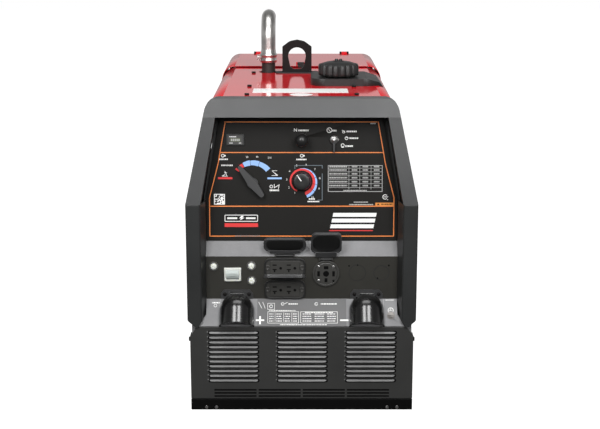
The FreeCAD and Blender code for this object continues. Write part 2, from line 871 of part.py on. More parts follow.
def exhaust_elbow():
    """Polished tube that rises from the muffler outlet and bends back to a rearward mouth."""
    bend = float(S.exhaust_bend)
    radius = float(S.exhaust_radius)
    start = Vector(float(S.exhaust_x), float(deep(S.exhaust_depth)), 782)
    rise = Vector(start.x, start.y, float(S.exhaust_top) - radius - bend)
    across = Vector(start.x, start.y + bend, rise.z + bend)
    knee = Vector(start.x, start.y + bend * (1 - math.cos(math.pi / 4)),
                  rise.z + bend * math.sin(math.pi / 4))
    mouth = Vector(start.x, across.y + 16, across.z)
    path = Part.Wire([Part.LineSegment(start, rise).toShape(), Part.Arc(rise, knee, across).toShape(),
                      Part.LineSegment(across, mouth).toShape()])
    solids = []
    for tube_radius in (radius, radius - 1.5):
        ring = Part.Wire([Part.Circle(start, Vector(0, 0, 1), tube_radius).toShape()])
        solids.append(path.makePipeShell([ring], True, False))
    socket = Part.makeCylinder(18.7, 18.6, start)
    tube = doc.addObject("Part::Feature", "Elbow")
    tube.Shape = solids[0].cut(solids[1]).cut(socket)
    return tube


finish(exhaust_elbow(), "exhaust_elbow")


def exhaust_clamp():
    """Band clamp round the elbow's foot with its bolt lug."""
    spot = (S.exhaust_x, deep(S.exhaust_depth))
    band = rod("Z", spot, S.exhaust_radius + 3, (784, 806))
    lug = box((S.exhaust_x - 32, S.exhaust_x - 20), (deep(S.exhaust_depth - 5), deep(S.exhaust_depth + 5)),
              (787, 803))
    bolt = rod("Y", (S.exhaust_x - 28, 795), 3,
               (deep(S.exhaust_depth - 14), deep(S.exhaust_depth + 14)))
    return cut(joined(band, lug, bolt), rod("Z", spot, S.exhaust_radius + 0.02, (700, 900)))


finish(exhaust_clamp(), "exhaust_clamp")


# ---------------------------------------------------------------- door latch

def door_latch():
    """Rubber lift latch on the front edge of the engine door."""
    grip = box((LATCH_X - 9, LATCH_X + 9), (deep(LATCH_DEPTH - 10), deep(LATCH_DEPTH + 8)),
               (S.door_height + 1, S.door_height + 9))
    barrel = rod("X", (deep(LATCH_DEPTH + 8), S.door_height + 5), 4, (LATCH_X - 9, LATCH_X + 9))
    bore = rod("X", (deep(LATCH_DEPTH + 8), S.door_height + 5), 1.5 + S.running_gap, (-30, 30))
    return cut(joined(grip, barrel), bore)


finish(door_latch(), "door_latch")




# ---------------------------------------------------------------- controls on the nameplate

def hour_meter():
    """Panel meter with a raised rim and its case behind the plate."""
    rim = box((HOUR_METER_X - 21, HOUR_METER_X + 21), (SWITCH_ROW - 13.5, SWITCH_ROW + 13.5), (0, 4))
    case = box((HOUR_METER_X - 19, HOUR_METER_X + 19), (SWITCH_ROW - 12, SWITCH_ROW + 12), (-32, 0))
    window = box((HOUR_METER_X - 16, HOUR_METER_X + 16), (SWITCH_ROW - 8.5, SWITCH_ROW + 8.5), (3, 5))
    return cut(joined(rim, case), window)


finish(on_nameplate(hour_meter()), "hour_meter")


def bushing(x, row, body_half, body_depth):
    """Control body behind the plate with a threaded bush through it and a bore for the shaft."""
    can = box((x - body_half, x + body_half), (row - body_half, row + body_half), (-body_depth, -S.skin))
    bush = rod("Z", (x, row), 6, (-S.skin, 4))
    nut = hexagon("Z", (x, row), 16, (0, 2.5))
    bore = rod("Z", (x, row), S.shaft_radius + S.running_gap, (-body_depth + 5, 6))
    return cut(joined(can, bush, nut), bore)


def shaft(x, row, depth, end):
    """Spindle that runs in a bush."""
    return rod("Z", (x, row), S.shaft_radius, (-depth, end))


finish(on_nameplate(bushing(0, SWITCH_ROW, 9, 70)), "choke_bush")
CHOKE_STANDOFF = 20
choke = joined(shaft(0, SWITCH_ROW, 62, CHOKE_STANDOFF), ball((0, SWITCH_ROW, CHOKE_STANDOFF + 10),
                                                            S.choke_radius))
finish(on_nameplate(choke), "choke_knob")

finish(on_nameplate(bushing(ENGINE_SWITCH_X, SWITCH_ROW, 15, 35)), "engine_switch")


def engine_switch_lever():
    """Pointer lever of the engine switch, hanging straight down at rest."""
    hub = rod("Z", (ENGINE_SWITCH_X, SWITCH_ROW), 9, (4.5, 14))
    half = 4
    bar = box((ENGINE_SWITCH_X - half, ENGINE_SWITCH_X + half), (SWITCH_ROW - 33, SWITCH_ROW), (6, 13))
    return joined(hub, bar, shaft(ENGINE_SWITCH_X, SWITCH_ROW, 25, 6))


finish(on_nameplate(engine_switch_lever()), "engine_switch_lever")

finish(on_nameplate(bushing(RANGE_X, RANGE_ROW, 32, 60)), "range_switch")


def range_lever():
    """Kite-shaped pointer of the range switch, resting on the highest range."""
    angle = math.radians(128.8)
    along = (math.cos(angle), math.sin(angle))
    across = (-along[1], along[0])
    corners = []
    for reach, half in ((52, 3.5), (0, 11), (-40, 5)):
        corners.append((RANGE_X + reach * along[0] + half * across[0],
                        RANGE_ROW + reach * along[1] + half * across[1]))
    for reach, half in ((-40, -5), (0, -11), (52, -3.5)):
        corners.append((RANGE_X + reach * along[0] + half * across[0],
                        RANGE_ROW + reach * along[1] + half * across[1]))
    handle = pad("XY", corners, (6, 19), [(3, (0, 5)), (4, (2, 3))])
    hub = rod("Z", (RANGE_X, RANGE_ROW), 13, (4.5, 10))
    return joined(handle, hub, shaft(RANGE_X, RANGE_ROW, 48, 8))


finish(on_nameplate(range_lever()), "range_lever")

finish(on_nameplate(bushing(0, DIAL_ROW, 22, 50)), "output_rheostat")


def output_knob():
    """Scalloped knob of the output control with a raised pointer rib."""
    knob = cone("Z", (0, DIAL_ROW), (S.knob_radius, S.knob_radius - 2), (4.5, 22))
    scallops = []
    for notch in range(12):
        angle = math.radians(30 * notch + 15)
        spot = ((S.knob_radius + 2) * math.cos(angle), DIAL_ROW + (S.knob_radius + 2) * math.sin(angle))
        scallops.append(rod("Z", spot, 3.5, (8, 30)))
    return joined(cut(knob, *scallops), shaft(0, DIAL_ROW, 40, 6))


finish(on_nameplate(output_knob()), "output_knob")


# ---------------------------------------------------------------- breakers

def main_breaker():
    """Breaker body behind the panel with its front frame."""
    x, z = MAIN_BREAKER
    face = S.outlet_depth
    frame = box((x - 20.5, x + 20.5), (deep(face - 2.5), deep(face)), (z - 16.5, z + 16.5))
    sleeve = box((x - 15.5, x + 15.5), (deep(face), deep(62)), (z - 14, z + 14))
    can = box((x - 19, x + 19), (deep(60), deep(120)), (z - 35, z + 30))
    window = box((x - 15, x + 15), (deep(30), deep(60)), (z - 13.8, z + 13.8))
    return cut(joined(frame, sleeve, can), window)


finish(main_breaker(), "main_breaker")


def breaker_rocker():
    """Rocker of the main breaker, a drum with a ridge, under its clear boot."""
    x, z = MAIN_BREAKER
    drum = rod("X", (deep(44.5), z), 13.4, (x - 14.6, x + 14.6))
    ridge = box((x - 8, x + 8), (deep(29), deep(34)), (z - 1, z + 6))
    return joined(drum, ridge)


finish(breaker_rocker(), "breaker_rocker")


def push_breakers():
    """Three round push-to-reset breakers: collar, threaded sleeve and body each."""
    pieces = []
    face = S.outlet_depth
    for x, z in BUTTONS:
        collar = rod("Y", (x, z), 11, (deep(face - 2.5), deep(face)))
        sleeve = rod("Y", (x, z), 9.3, (deep(face), deep(face + 20)))
        can = box((x - 9, x + 9), (deep(face + 18), deep(face + 50)), (z - 12, z + 12))
        bore = rod("Y", (x, z), S.button_radius + 0.3, (deep(30), deep(face + 16)))
        pieces.append(cut(joined(collar, sleeve, can), bore))
    return grouped(*pieces)


finish(push_breakers(), "push_breakers")

for number, (x, z) in enumerate(BUTTONS, start=1):
    cap = rod("Y", (x, z), S.button_radius, (deep(S.outlet_depth - 9), deep(S.outlet_depth + 10)))
    finish(cap, "breaker_button_%d" % number)


# ---------------------------------------------------------------- receptacles and their lids

PIN_RADIUS = 1.5
LID_HINGE_DEPTH = 37.5
LID_HINGE_RISE = 3.5
UPPER_LID_RISE = 7.7


def hinge_lugs(x, half, depth, height, panel):
    """Two lugs and a pin standing off an upright face, for a lid that swings up."""
    pieces = [rod("X", (deep(depth), height), PIN_RADIUS, (x - half, x + half))]
    for low in (x - half, x + half - 3):
        pieces.append(box((low, low + 3), (deep(depth - 2.5), deep(panel)), (height - 2.5, height + 2.5)))
    return pieces


def duplex_receptacle(height, hinge_rise):
    """Twin outlet with a cover frame: slots, round holes, and lugs for the lid."""
    x = S.duplex_x
    half = S.duplex_half_width
    rise = S.duplex_height / 2
    face = S.outlet_depth
    ends = [(x - half, height - rise), (x + half, height - rise),
            (x + half, height + rise), (x - half, height + rise)]
    frame = pad("XZ", ends, (deep(face - 3), deep(face)), [(14, (0, 1, 2, 3))])
    insert = box((x - 34, x + 34), (deep(face - 4.5), deep(face + 32)), (height - 15, height + 15))
    slots = []
    for middle in (x - 17, x + 17):
        slots.append(box((middle - 10, middle - 3), (deep(30), deep(face + 10)), (height + 6, height + 8.2)))
        slots.append(box((middle - 10, middle - 3), (deep(30), deep(face + 10)), (height - 7.6, height - 5)))
        slots.append(rod("Y", (middle + 7, height), 2.6, (deep(30), deep(face + 12))))
    lugs = hinge_lugs(x, 24, LID_HINGE_DEPTH, height + rise + hinge_rise, face)
    web = box((x - 24, x + 24), (deep(face - 2), deep(face)),
              (height + rise - 1, height + rise + hinge_rise - 3))
    return joined(cut(joined(frame, insert), *slots), web, *lugs)


finish(grouped(duplex_receptacle(UPPER_DUPLEX_HEIGHT, UPPER_LID_RISE),
               duplex_receptacle(LOWER_DUPLEX_HEIGHT, LID_HINGE_RISE)), "duplex_receptacles")


LID_INSIDE = 1.2
LID_THICKNESS = 4.3
LIP_DEPTH = 10


def swung_lid(half, reach, neck, knuckle_half, corners, place, opening):
    """A lid drawn closed about its hinge line, then swung open.

    half is half its width and reach how far from the hinge it starts and ends. A neck (half width)
    joins it to the knuckle, and its free end has a deeper lip to lift it by."""
    start, end = reach
    outline = [(-half, -end), (half, -end), (half, -start), (-half, -start)]
    rounds = [(corners, (0, 1)), (5, (2, 3))]
    plate = pad("XZ", outline, (-LID_THICKNESS - LID_INSIDE, -LID_INSIDE), rounds)
    lip = shared(pad("XZ", outline, (-LIP_DEPTH, -LID_INSIDE), rounds),
                 box((-half, half), (-20, 0), (-end, 7 - end)))
    bridge = box((-neck, neck), (-LID_THICKNESS - LID_INSIDE, -LID_INSIDE), (-start - 1, -4.4))
    knuckle = rod("X", (0, 0), 2.9, (-knuckle_half, knuckle_half))
    shank = box((-knuckle_half, knuckle_half), (-LID_THICKNESS - LID_INSIDE, -0.5), (-5, 0))
    bore = rod("X", (0, 0), PIN_RADIUS + S.running_gap, (-60, 60))
    lid = cut(joined(plate, lip, bridge, knuckle, shank), bore)
    lid.Placement = FreeCAD.Placement(Vector(), FreeCAD.Rotation(Vector(1, 0, 0), -opening))
    put(lid, place)
    return lid


def duplex_lid(height, rise, opening):
    """Lid of a twin outlet."""
    top = height + S.duplex_height / 2 + rise
    return swung_lid(50.5, (10.8, 47.5), 36, 20.7, 14, (S.duplex_x, deep(LID_HINGE_DEPTH), top), opening)


UPPER_LID_OPENING = 158
LOWER_LID_OPENING = 109
ROUND_LID_OPENING = 153
finish(duplex_lid(UPPER_DUPLEX_HEIGHT, UPPER_LID_RISE, UPPER_LID_OPENING), "duplex_lid_upper")
finish(duplex_lid(LOWER_DUPLEX_HEIGHT, LID_HINGE_RISE, LOWER_LID_OPENING), "duplex_lid_lower")


def round_receptacle():
    """Large four-wire outlet: round shroud, slotted insert and lugs for the lid."""
    x, z = S.round_x, S.round_height
    face = S.outlet_depth
    flange = rod("Y", (x, z), S.round_radius, (deep(face - 3), deep(face)))
    insert = rod("Y", (x, z), 26.5, (deep(face - 5), deep(face + 40)))
    slots = []
    for dx, dz, wide, tall in ((-14, 0, 3, 9), (14, 0, 3, 9), (0, -14, 3, 9), (0, 14, 9, 4)):
        slots.append(box((x + dx - wide / 2, x + dx + wide / 2), (deep(30), deep(face + 12)),
                         (z + dz - tall / 2, z + dz + tall / 2)))
    lugs = hinge_lugs(x, 17, LID_HINGE_DEPTH, z + S.round_radius + LID_HINGE_RISE, face)
    return joined(cut(joined(flange, insert), *slots), *lugs)


finish(round_receptacle(), "round_receptacle")


def round_lid():
    """Squarish lid of the large outlet."""
    top = S.round_height + S.round_radius + LID_HINGE_RISE
    return swung_lid(36.5, (18, 78), 25, 13.7, 14, (S.round_x, deep(LID_HINGE_DEPTH), top),
                     ROUND_LID_OPENING)


finish(round_lid(), "round_lid")


# ---------------------------------------------------------------- welding terminals and hoods

def output_stud(x, drop, radius, length, nut):
    """Threaded stud with insulator, washer and nut, standing square to the ledge."""
    spot = (x, -drop)
    insulator = rod("Z", spot, nut * 0.78, (0, 2))
    washer = rod("Z", spot, nut * 0.66, (2, 4))
    hex_nut = hexagon("Z", spot, nut, (4, 4 + radius * 1.6))
    return on_ledge(joined(rod("Z", spot, radius, (-24, length)), insulator, washer, hex_nut))


finish(grouped(output_stud(-S.terminal_x, S.terminal_drop, S.stud_radius, 32, 22),
               output_stud(S.terminal_x, S.terminal_drop, S.stud_radius, 32, 22),
               output_stud(214, 42, 4, 16, 12)), "output_studs")

HOOD_HINGE_DEPTH = 36
HOOD_HINGE_HEIGHT = 284


def hood_hinges():
    """Screwed plates above the ledge with lugs and pins for the terminal hoods."""
    pieces = []
    for side in (-1, 1):
        x = side * S.terminal_x
        outline = [(x - 39, 271), (x + 39, 271), (x + 39, 283), (x + 31, 293), (x - 31, 293), (x - 39, 283)]
        plate = pad("XZ", outline, (deep(40.5), deep(43)))
        lugs = [rod("X", (deep(HOOD_HINGE_DEPTH), HOOD_HINGE_HEIGHT), PIN_RADIUS, (x - 20, x + 20))]
        for low in (x - 20, x + 16):
            lugs.append(box((low, low + 4), (deep(HOOD_HINGE_DEPTH - 3), deep(40.5)),
                            (HOOD_HINGE_HEIGHT - 3, HOOD_HINGE_HEIGHT + 3)))
        screws = [rod("Y", (x + dx, 282), 4, (deep(38.3), deep(40.5))) for dx in (-29, 29)]
        pieces.append(joined(plate, *lugs, *screws))
    return grouped(*pieces)


finish(hood_hinges(), "hood_hinges")


def terminal_hood(side):
    """Domed half-round cover that hangs over a welding stud and is open at its lower end."""
    x = side * S.terminal_x
    radius = S.hood_radius
    wall = S.hood_wall
    crown = -31
    mouth = -69
    outer = joined(rod("Y", (x, 0), radius, (mouth, crown)), ball((x, crown, 0), radius))
    inner = joined(rod("Y", (x, 0), radius - wall, (mouth - 5, crown)), ball((x, crown, 0), radius - wall))
    below = box((x - 60, x + 60), (-120, 30), (-60, 0.5))
    shell = on_ledge(cut(outer, inner, below))
    behind = box((x - 60, x + 60), (deep(39.8), deep(120)), (150, 400))
    spot = (deep(HOOD_HINGE_DEPTH), HOOD_HINGE_HEIGHT)
    knuckle = rod("X", spot, 3.6, (x - 15.7, x + 15.7))
    neck = box((x - 15.7, x + 15.7), (deep(29.5), deep(HOOD_HINGE_DEPTH)),
               (HOOD_HINGE_HEIGHT - 5, HOOD_HINGE_HEIGHT + 1.5))
    bore = rod("X", spot, PIN_RADIUS + S.running_gap, (x - 30, x + 30))
    relief = [box((x + low, x + low + 5), (deep(32), deep(60)), (HOOD_HINGE_HEIGHT - 8, HOOD_HINGE_HEIGHT + 8))
              for low in (-20.5, 15.7)]
    return cut(joined(cut(shell, behind, *relief), knuckle, neck), bore)


finish(terminal_hood(-1), "terminal_hood_left")
finish(terminal_hood(1), "terminal_hood_right")


# ---------------------------------------------------------------- generator

CRANK_LINE = (0, S.shaft_height)


def generator_frame():
    """Stator barrel with feet and the end bracket that holds the shaft's bearing."""
    barrel = cut(rod("Y", CRANK_LINE, S.stator_radius, (deep(385), deep(560))),
                 rod("Y", CRANK_LINE, S.stator_bore, (deep(392), deep(561))))
    feet = [box((x, x + 50), (deep(400), deep(460)), (78, 110)) for x in (-135, 85)]
    bearing = rod("Y", CRANK_LINE, 36, (deep(370), deep(392)))
    bore = rod("Y", CRANK_LINE, S.crank_radius + S.running_gap, (deep(300), deep(400)))
    return cut(joined(barrel, bearing, *feet), bore)


finish(generator_frame(), "generator_frame")


def rotor():
    """Wound rotor on the shaft that the engine turns."""
    line = rod("Y", CRANK_LINE, S.crank_radius, (deep(362), deep(925)))
    core = rod("Y", CRANK_LINE, S.stator_bore - 1.5, (deep(402), deep(545)))
    return joined(line, core)


finish(rotor(), "rotor_shaft")


def flywheel_fan():
    """Cooling fan and flywheel at the engine end of the shaft."""
    pieces = [rod("Y", CRANK_LINE, 140, (deep(884), deep(896)))]
    blade_count = 12
    for blade in range(blade_count):
        fin = box((0, 5), (deep(896), deep(918)), (80, 138))
        fin.Placement = FreeCAD.Placement(Vector(), FreeCAD.Rotation(Vector(0, 1, 0),
                                                                     360 / blade_count * blade))
        put(fin, (80 * math.sin(2 * math.pi * blade / blade_count), deep(895.5),
                  S.shaft_height + 80 * math.cos(2 * math.pi * blade / blade_count)))
        bind(fin, "Height", 58)
        pieces.append(fin)
    return cut(joined(*pieces), rod("Y", CRANK_LINE, S.crank_radius, (deep(800), deep(950))))


finish(flywheel_fan(), "flywheel_fan")


# ---------------------------------------------------------------- engine

def crankcase():
    """Engine block with its bell housing against the generator, and mounting feet."""
    half = 120
    outline = mirrored_corners([(half, 110), (half, 288), (58, 350)])
    block = pad("XZ", outline, (deep(600), deep(850)))
    bell = rod("Y", CRANK_LINE, S.stator_radius, (deep(560), deep(605)))
    hollow = rod("Y", CRANK_LINE, 70, (deep(559), deep(590)))
    feet = [box((x, x + 50), (deep(700), deep(760)), (78, 130)) for x in (-135, 85)]
    bore = rod("Y", CRANK_LINE, S.crank_radius + S.running_gap, (deep(500), deep(900)))
    return cut(joined(block, bell, *feet), hollow, bore)


finish(crankcase(), "crankcase")


def cylinders():
    """Two finned cylinders in a V above the crankcase."""
    pieces = []
    for angle in (-45, 45):
        barrel = [box((-40, 40), (-40, 40), (130, 262)), box((-52, 52), (-50, 50), (262, 290))]
        for fin in range(9):
            rise = 138 + 13.5 * fin
            barrel.append(box((-54, 54), (-52, 52), (rise, rise + 4)))
        one = joined(*barrel)
        one.Placement = FreeCAD.Placement(Vector(), FreeCAD.Rotation(Vector(0, 1, 0), angle))
        put(one, (0, deep(735), S.shaft_height))
        pieces.append(one)
    return grouped(*pieces)


finish(cylinders(), "cylinders")


def blower_housing():
    """Pressed shroud round the fan, open at the back behind a guard ring."""
    shell = cut(rod("Y", CRANK_LINE, S.blower_radius, (deep(855), deep(950))),
                rod("Y", CRANK_LINE, S.blower_radius - 3, (deep(858), deep(951))))
    guard = cut(rod("Y", CRANK_LINE, S.blower_radius - 2, (deep(945), deep(950))),
                rod("Y", CRANK_LINE, 110, (deep(940), deep(955))))
    return cut(joined(shell, guard), rod("Y", CRANK_LINE, 30, (deep(800), deep(870))))


finish(blower_housing(), "blower_housing")



def air_cleaner():
    """Round air filter on its intake neck and carburettor body, above the crankcase."""
    spot = (0, deep(735))
    return joined(rod("Z", spot, 105, (432, 498)), rod("Z", spot, 8, (498, 512)),
                  rod("Z", spot, 26, (350, 432)), box((-32, 32), (deep(705), deep(765)), (375, 410)))


finish(air_cleaner(), "air_cleaner")


def rubber_mounts():
    """Four rubber isolators between the cross members and the feet."""
    pieces = []
    for x in (-110, 110):
        for depth in (430, 730):
            pieces.append(rod("Z", (x, deep(depth)), 22, (S.base_height, 78)))
    return grouped(*pieces)


finish(rubber_mounts(), "rubber_mounts")


# ---------------------------------------------------------------- electrics in the front compartment

def battery():
    """Starting battery with two posts."""
    case = box((30, 225), (deep(130), deep(262)), (S.base_wall, 165))
    posts = [rod("Z", (x, deep(150)), 8, (165, 178)) for x in (55, 200)]
    return joined(case, *posts)


finish(battery(), "battery")


def reactor():
    """Output choke: laminated core with two coils."""
    core = box((-225, -55), (deep(165), deep(225)), (S.base_wall, 150))
    coils = [box((x, x + 52), (deep(145), deep(245)), (28, 125)) for x in (-210, -122)]
    return joined(core, *coils)


finish(reactor(), "reactor")


def rectifier():
    """Finned heat sink with the welding rectifier, on the bulkhead."""
    pieces = [box((-90, 90), (deep(288), deep(300)), (300, 460))]
    for fin in range(10):
        x = -88 + 19 * fin
        pieces.append(box((x, x + 4), (deep(240), deep(288)), (300, 460)))
    return joined(*pieces)


finish(rectifier(), "rectifier")


# ---------------------------------------------------------------- check and write

doc.recompute()
broken = [item.Name for item in doc.Objects if "Invalid" in item.State or "Error" in item.State]
if broken:
    raise RuntimeError("failed objects: %s" % ", ".join(broken))
os.makedirs("parts", exist_ok=True)
for piece in PARTS:
    if piece.Shape.isNull() or not piece.Shape.isValid() or piece.Shape.Volume <= 0:
        raise RuntimeError("bad shape: %s" % piece.Label)
    piece.Shape.exportStep("parts/%s.step" % piece.Label)
print("wrote", len(PARTS), "parts")
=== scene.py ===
import math
import random

import bmesh
import bpy
from mathutils import Matrix, Vector


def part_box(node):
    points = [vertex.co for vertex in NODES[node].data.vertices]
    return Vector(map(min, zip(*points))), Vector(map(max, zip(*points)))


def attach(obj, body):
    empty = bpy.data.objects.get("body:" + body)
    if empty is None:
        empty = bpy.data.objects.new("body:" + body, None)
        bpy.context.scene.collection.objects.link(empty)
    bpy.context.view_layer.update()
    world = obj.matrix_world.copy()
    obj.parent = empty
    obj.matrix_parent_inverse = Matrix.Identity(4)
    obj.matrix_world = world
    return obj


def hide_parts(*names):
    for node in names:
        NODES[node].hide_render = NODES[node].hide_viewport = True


# Looks of an engine driven welder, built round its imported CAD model. All lengths are metres.

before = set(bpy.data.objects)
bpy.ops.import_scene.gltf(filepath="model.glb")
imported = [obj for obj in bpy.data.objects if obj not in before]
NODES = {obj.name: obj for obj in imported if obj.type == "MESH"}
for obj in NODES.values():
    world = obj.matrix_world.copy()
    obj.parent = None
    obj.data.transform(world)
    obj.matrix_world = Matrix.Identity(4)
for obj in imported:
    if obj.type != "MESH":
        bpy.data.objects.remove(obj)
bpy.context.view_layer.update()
MM = 0.001

# ---------------------------------------------------------------- places read from the frame

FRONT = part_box("bezel_cheeks")[0].y
PANEL_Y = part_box("hood_hinges")[1].y
LEDGE_BACK_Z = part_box("hood_hinges")[0].z - 1.5 * MM
ROOF_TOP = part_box("roof")[1].z
PLATE_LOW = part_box("nameplate_panel")[0]
PLATE_LEAN = math.radians(7.68)
LEDGE_LEAN = math.atan2(38, 57)


SIDES = ((-1, "left"), (1, "right"))


def local_frame(origin, lean):
    """A frame on a face that leans back: X across, Y up the face, Z out of it towards the front."""
    up = Vector((0, math.sin(lean), math.cos(lean)))
    out = Vector((0, -math.cos(lean), math.sin(lean)))
    rows = [[1, up.x, out.x, origin[0]], [0, up.y, out.y, origin[1]], [0, up.z, out.z, origin[2]],
            [0, 0, 0, 1]]
    return Matrix(rows)


PLATE = local_frame((0, PLATE_LOW.y, PLATE_LOW.z), PLATE_LEAN)
LEDGE = local_frame((0, PANEL_Y, LEDGE_BACK_Z), LEDGE_LEAN)
PANEL = local_frame((0, PANEL_Y, 0), 0)
ROOF = Matrix.Translation((0, 0, ROOF_TOP))


# ---------------------------------------------------------------- materials

def tinted(colour, factor):
    """A colour made lighter or darker."""
    return tuple(min(1.0, max(0.0, channel * factor)) for channel in colour[:3]) + (1.0,)


def set_stops(ramp, stops):
    """Set a new colour ramp's positions and colours."""
    ramp.elements[0].position, ramp.elements[0].color = stops[0]
    ramp.elements[1].position, ramp.elements[1].color = stops[-1]
    for position, colour in stops[1:-1]:
        ramp.elements.new(position).color = colour


def map_range(tree, value, **sockets):
    """Map a value to another range, and give the mapped value."""
    node = tree.nodes.new("ShaderNodeMapRange")
    for name, level in sockets.items():
        node.inputs[name.replace("_", " ")].default_value = level
    tree.links.new(value, node.inputs["Value"])
    return node.outputs["Result"]


class Finish:
    """A procedural material: mottled colour, uneven gloss and a fine surface grain."""

    def __init__(self, name, colour, roughness, metallic=0.0, mottle=0.12, mottle_scale=9.0,
                 spread=0.06, grain_scale=900.0, grain=0.25, grain_depth=0.00012, **sockets):
        self.material = bpy.data.materials.new(name)
        self.material.use_nodes = True
        self.tree = self.material.node_tree
        self.shader = self.tree.nodes["Principled BSDF"]
        self.coordinates = self.tree.nodes.new("ShaderNodeTexCoord")
        self.set(Metallic=metallic)
        for socket, value in sockets.items():
            self.set(**{socket: value})
        self.colour(colour, mottle, mottle_scale)
        self.gloss(roughness, spread, mottle_scale * 3)
        if grain > 0:
            self.grain(grain_scale, grain, grain_depth)

    def set(self, **sockets):
        """Set shader sockets to constants, with underscores for the spaces in their names."""
        for name, value in sockets.items():
            self.shader.inputs[name.replace("_", " ")].default_value = value

    def link(self, start, end):
        """Join an output to an input."""
        self.tree.links.new(start, end)

    def noise(self, scale, detail=4.0, stretch=(1, 1, 1)):
        """Noise over the object's own space, as a value from 0 to 1."""
        mapping = self.tree.nodes.new("ShaderNodeMapping")
        mapping.inputs["Scale"].default_value = stretch
        self.link(self.coordinates.outputs["Object"], mapping.inputs["Vector"])
        texture = self.tree.nodes.new("ShaderNodeTexNoise")
        texture.inputs["Scale"].default_value = scale
        texture.inputs["Detail"].default_value = detail
        self.link(mapping.outputs["Vector"], texture.inputs["Vector"])
        return texture.outputs["Fac"]

    def ramp(self, source, stops):
        """A colour ramp over a value."""
        node = self.tree.nodes.new("ShaderNodeValToRGB")
        set_stops(node.color_ramp, stops)
        self.link(source, node.inputs["Fac"])
        return node.outputs["Color"]

    def colour(self, colour, mottle, scale):
        """Drive the base colour with a slow mottle."""
        stops = [(0.3, tinted(colour, 1 - mottle)), (0.7, tinted(colour, 1 + mottle))]
        self.link(self.ramp(self.noise(scale), stops), self.shader.inputs["Base Color"])

    def gloss(self, roughness, spread, scale):
        """Drive the roughness with noise, so that the gloss is uneven."""
        varied = map_range(self.tree, self.noise(scale, 6.0), To_Min=max(0.02, roughness - spread),
                           To_Max=min(1.0, roughness + spread))
        self.link(varied, self.shader.inputs["Roughness"])

    def grain(self, scale, strength, depth, stretch=(1, 1, 1)):
        """Roughen the surface with a fine bump."""
        bump = self.tree.nodes.new("ShaderNodeBump")
        bump.inputs["Strength"].default_value = strength
        bump.inputs["Distance"].default_value = depth
        self.link(self.noise(scale, 3.0, stretch), bump.inputs["Height"])
        self.link(bump.outputs["Normal"], self.shader.inputs["Normal"])


def speckled(name, colour, roughness, **sockets):
    """Painted or plated sheet with a fine light speckle over it."""
    made = Finish(name, colour, roughness, **sockets)
    dots = made.noise(1400.0, 2.0)
    patches = made.noise(14.0)
    mix = made.tree.nodes.new("ShaderNodeMix")
    mix.data_type = "RGBA"
    mix.blend_type = "MULTIPLY"
    mix.inputs["Factor"].default_value = 1.0
    made.link(made.ramp(dots, [(0.35, (0.78, 0.78, 0.78, 1)), (0.62, (1, 1, 1, 1))]), mix.inputs["A"])
    made.link(made.ramp(patches, [(0.3, tinted(colour, 0.86)), (0.7, tinted(colour, 1.12))]),
              mix.inputs["B"])
    made.link(mix.outputs["Result"], made.shader.inputs["Base Color"])
    return made.material


def brushed(name, colour, roughness, stretch, metallic=1.0, **sockets):
    """Metal with fine lines along one direction."""
    made = Finish(name, colour, roughness, metallic=metallic, grain=0, **sockets)
    made.grain(260.0, 0.35, 0.00008, stretch)
    return made.material


def plain(name, colour, roughness, **options):
    """A finish with nothing added to it."""
    return Finish(name, colour, roughness, **options).material


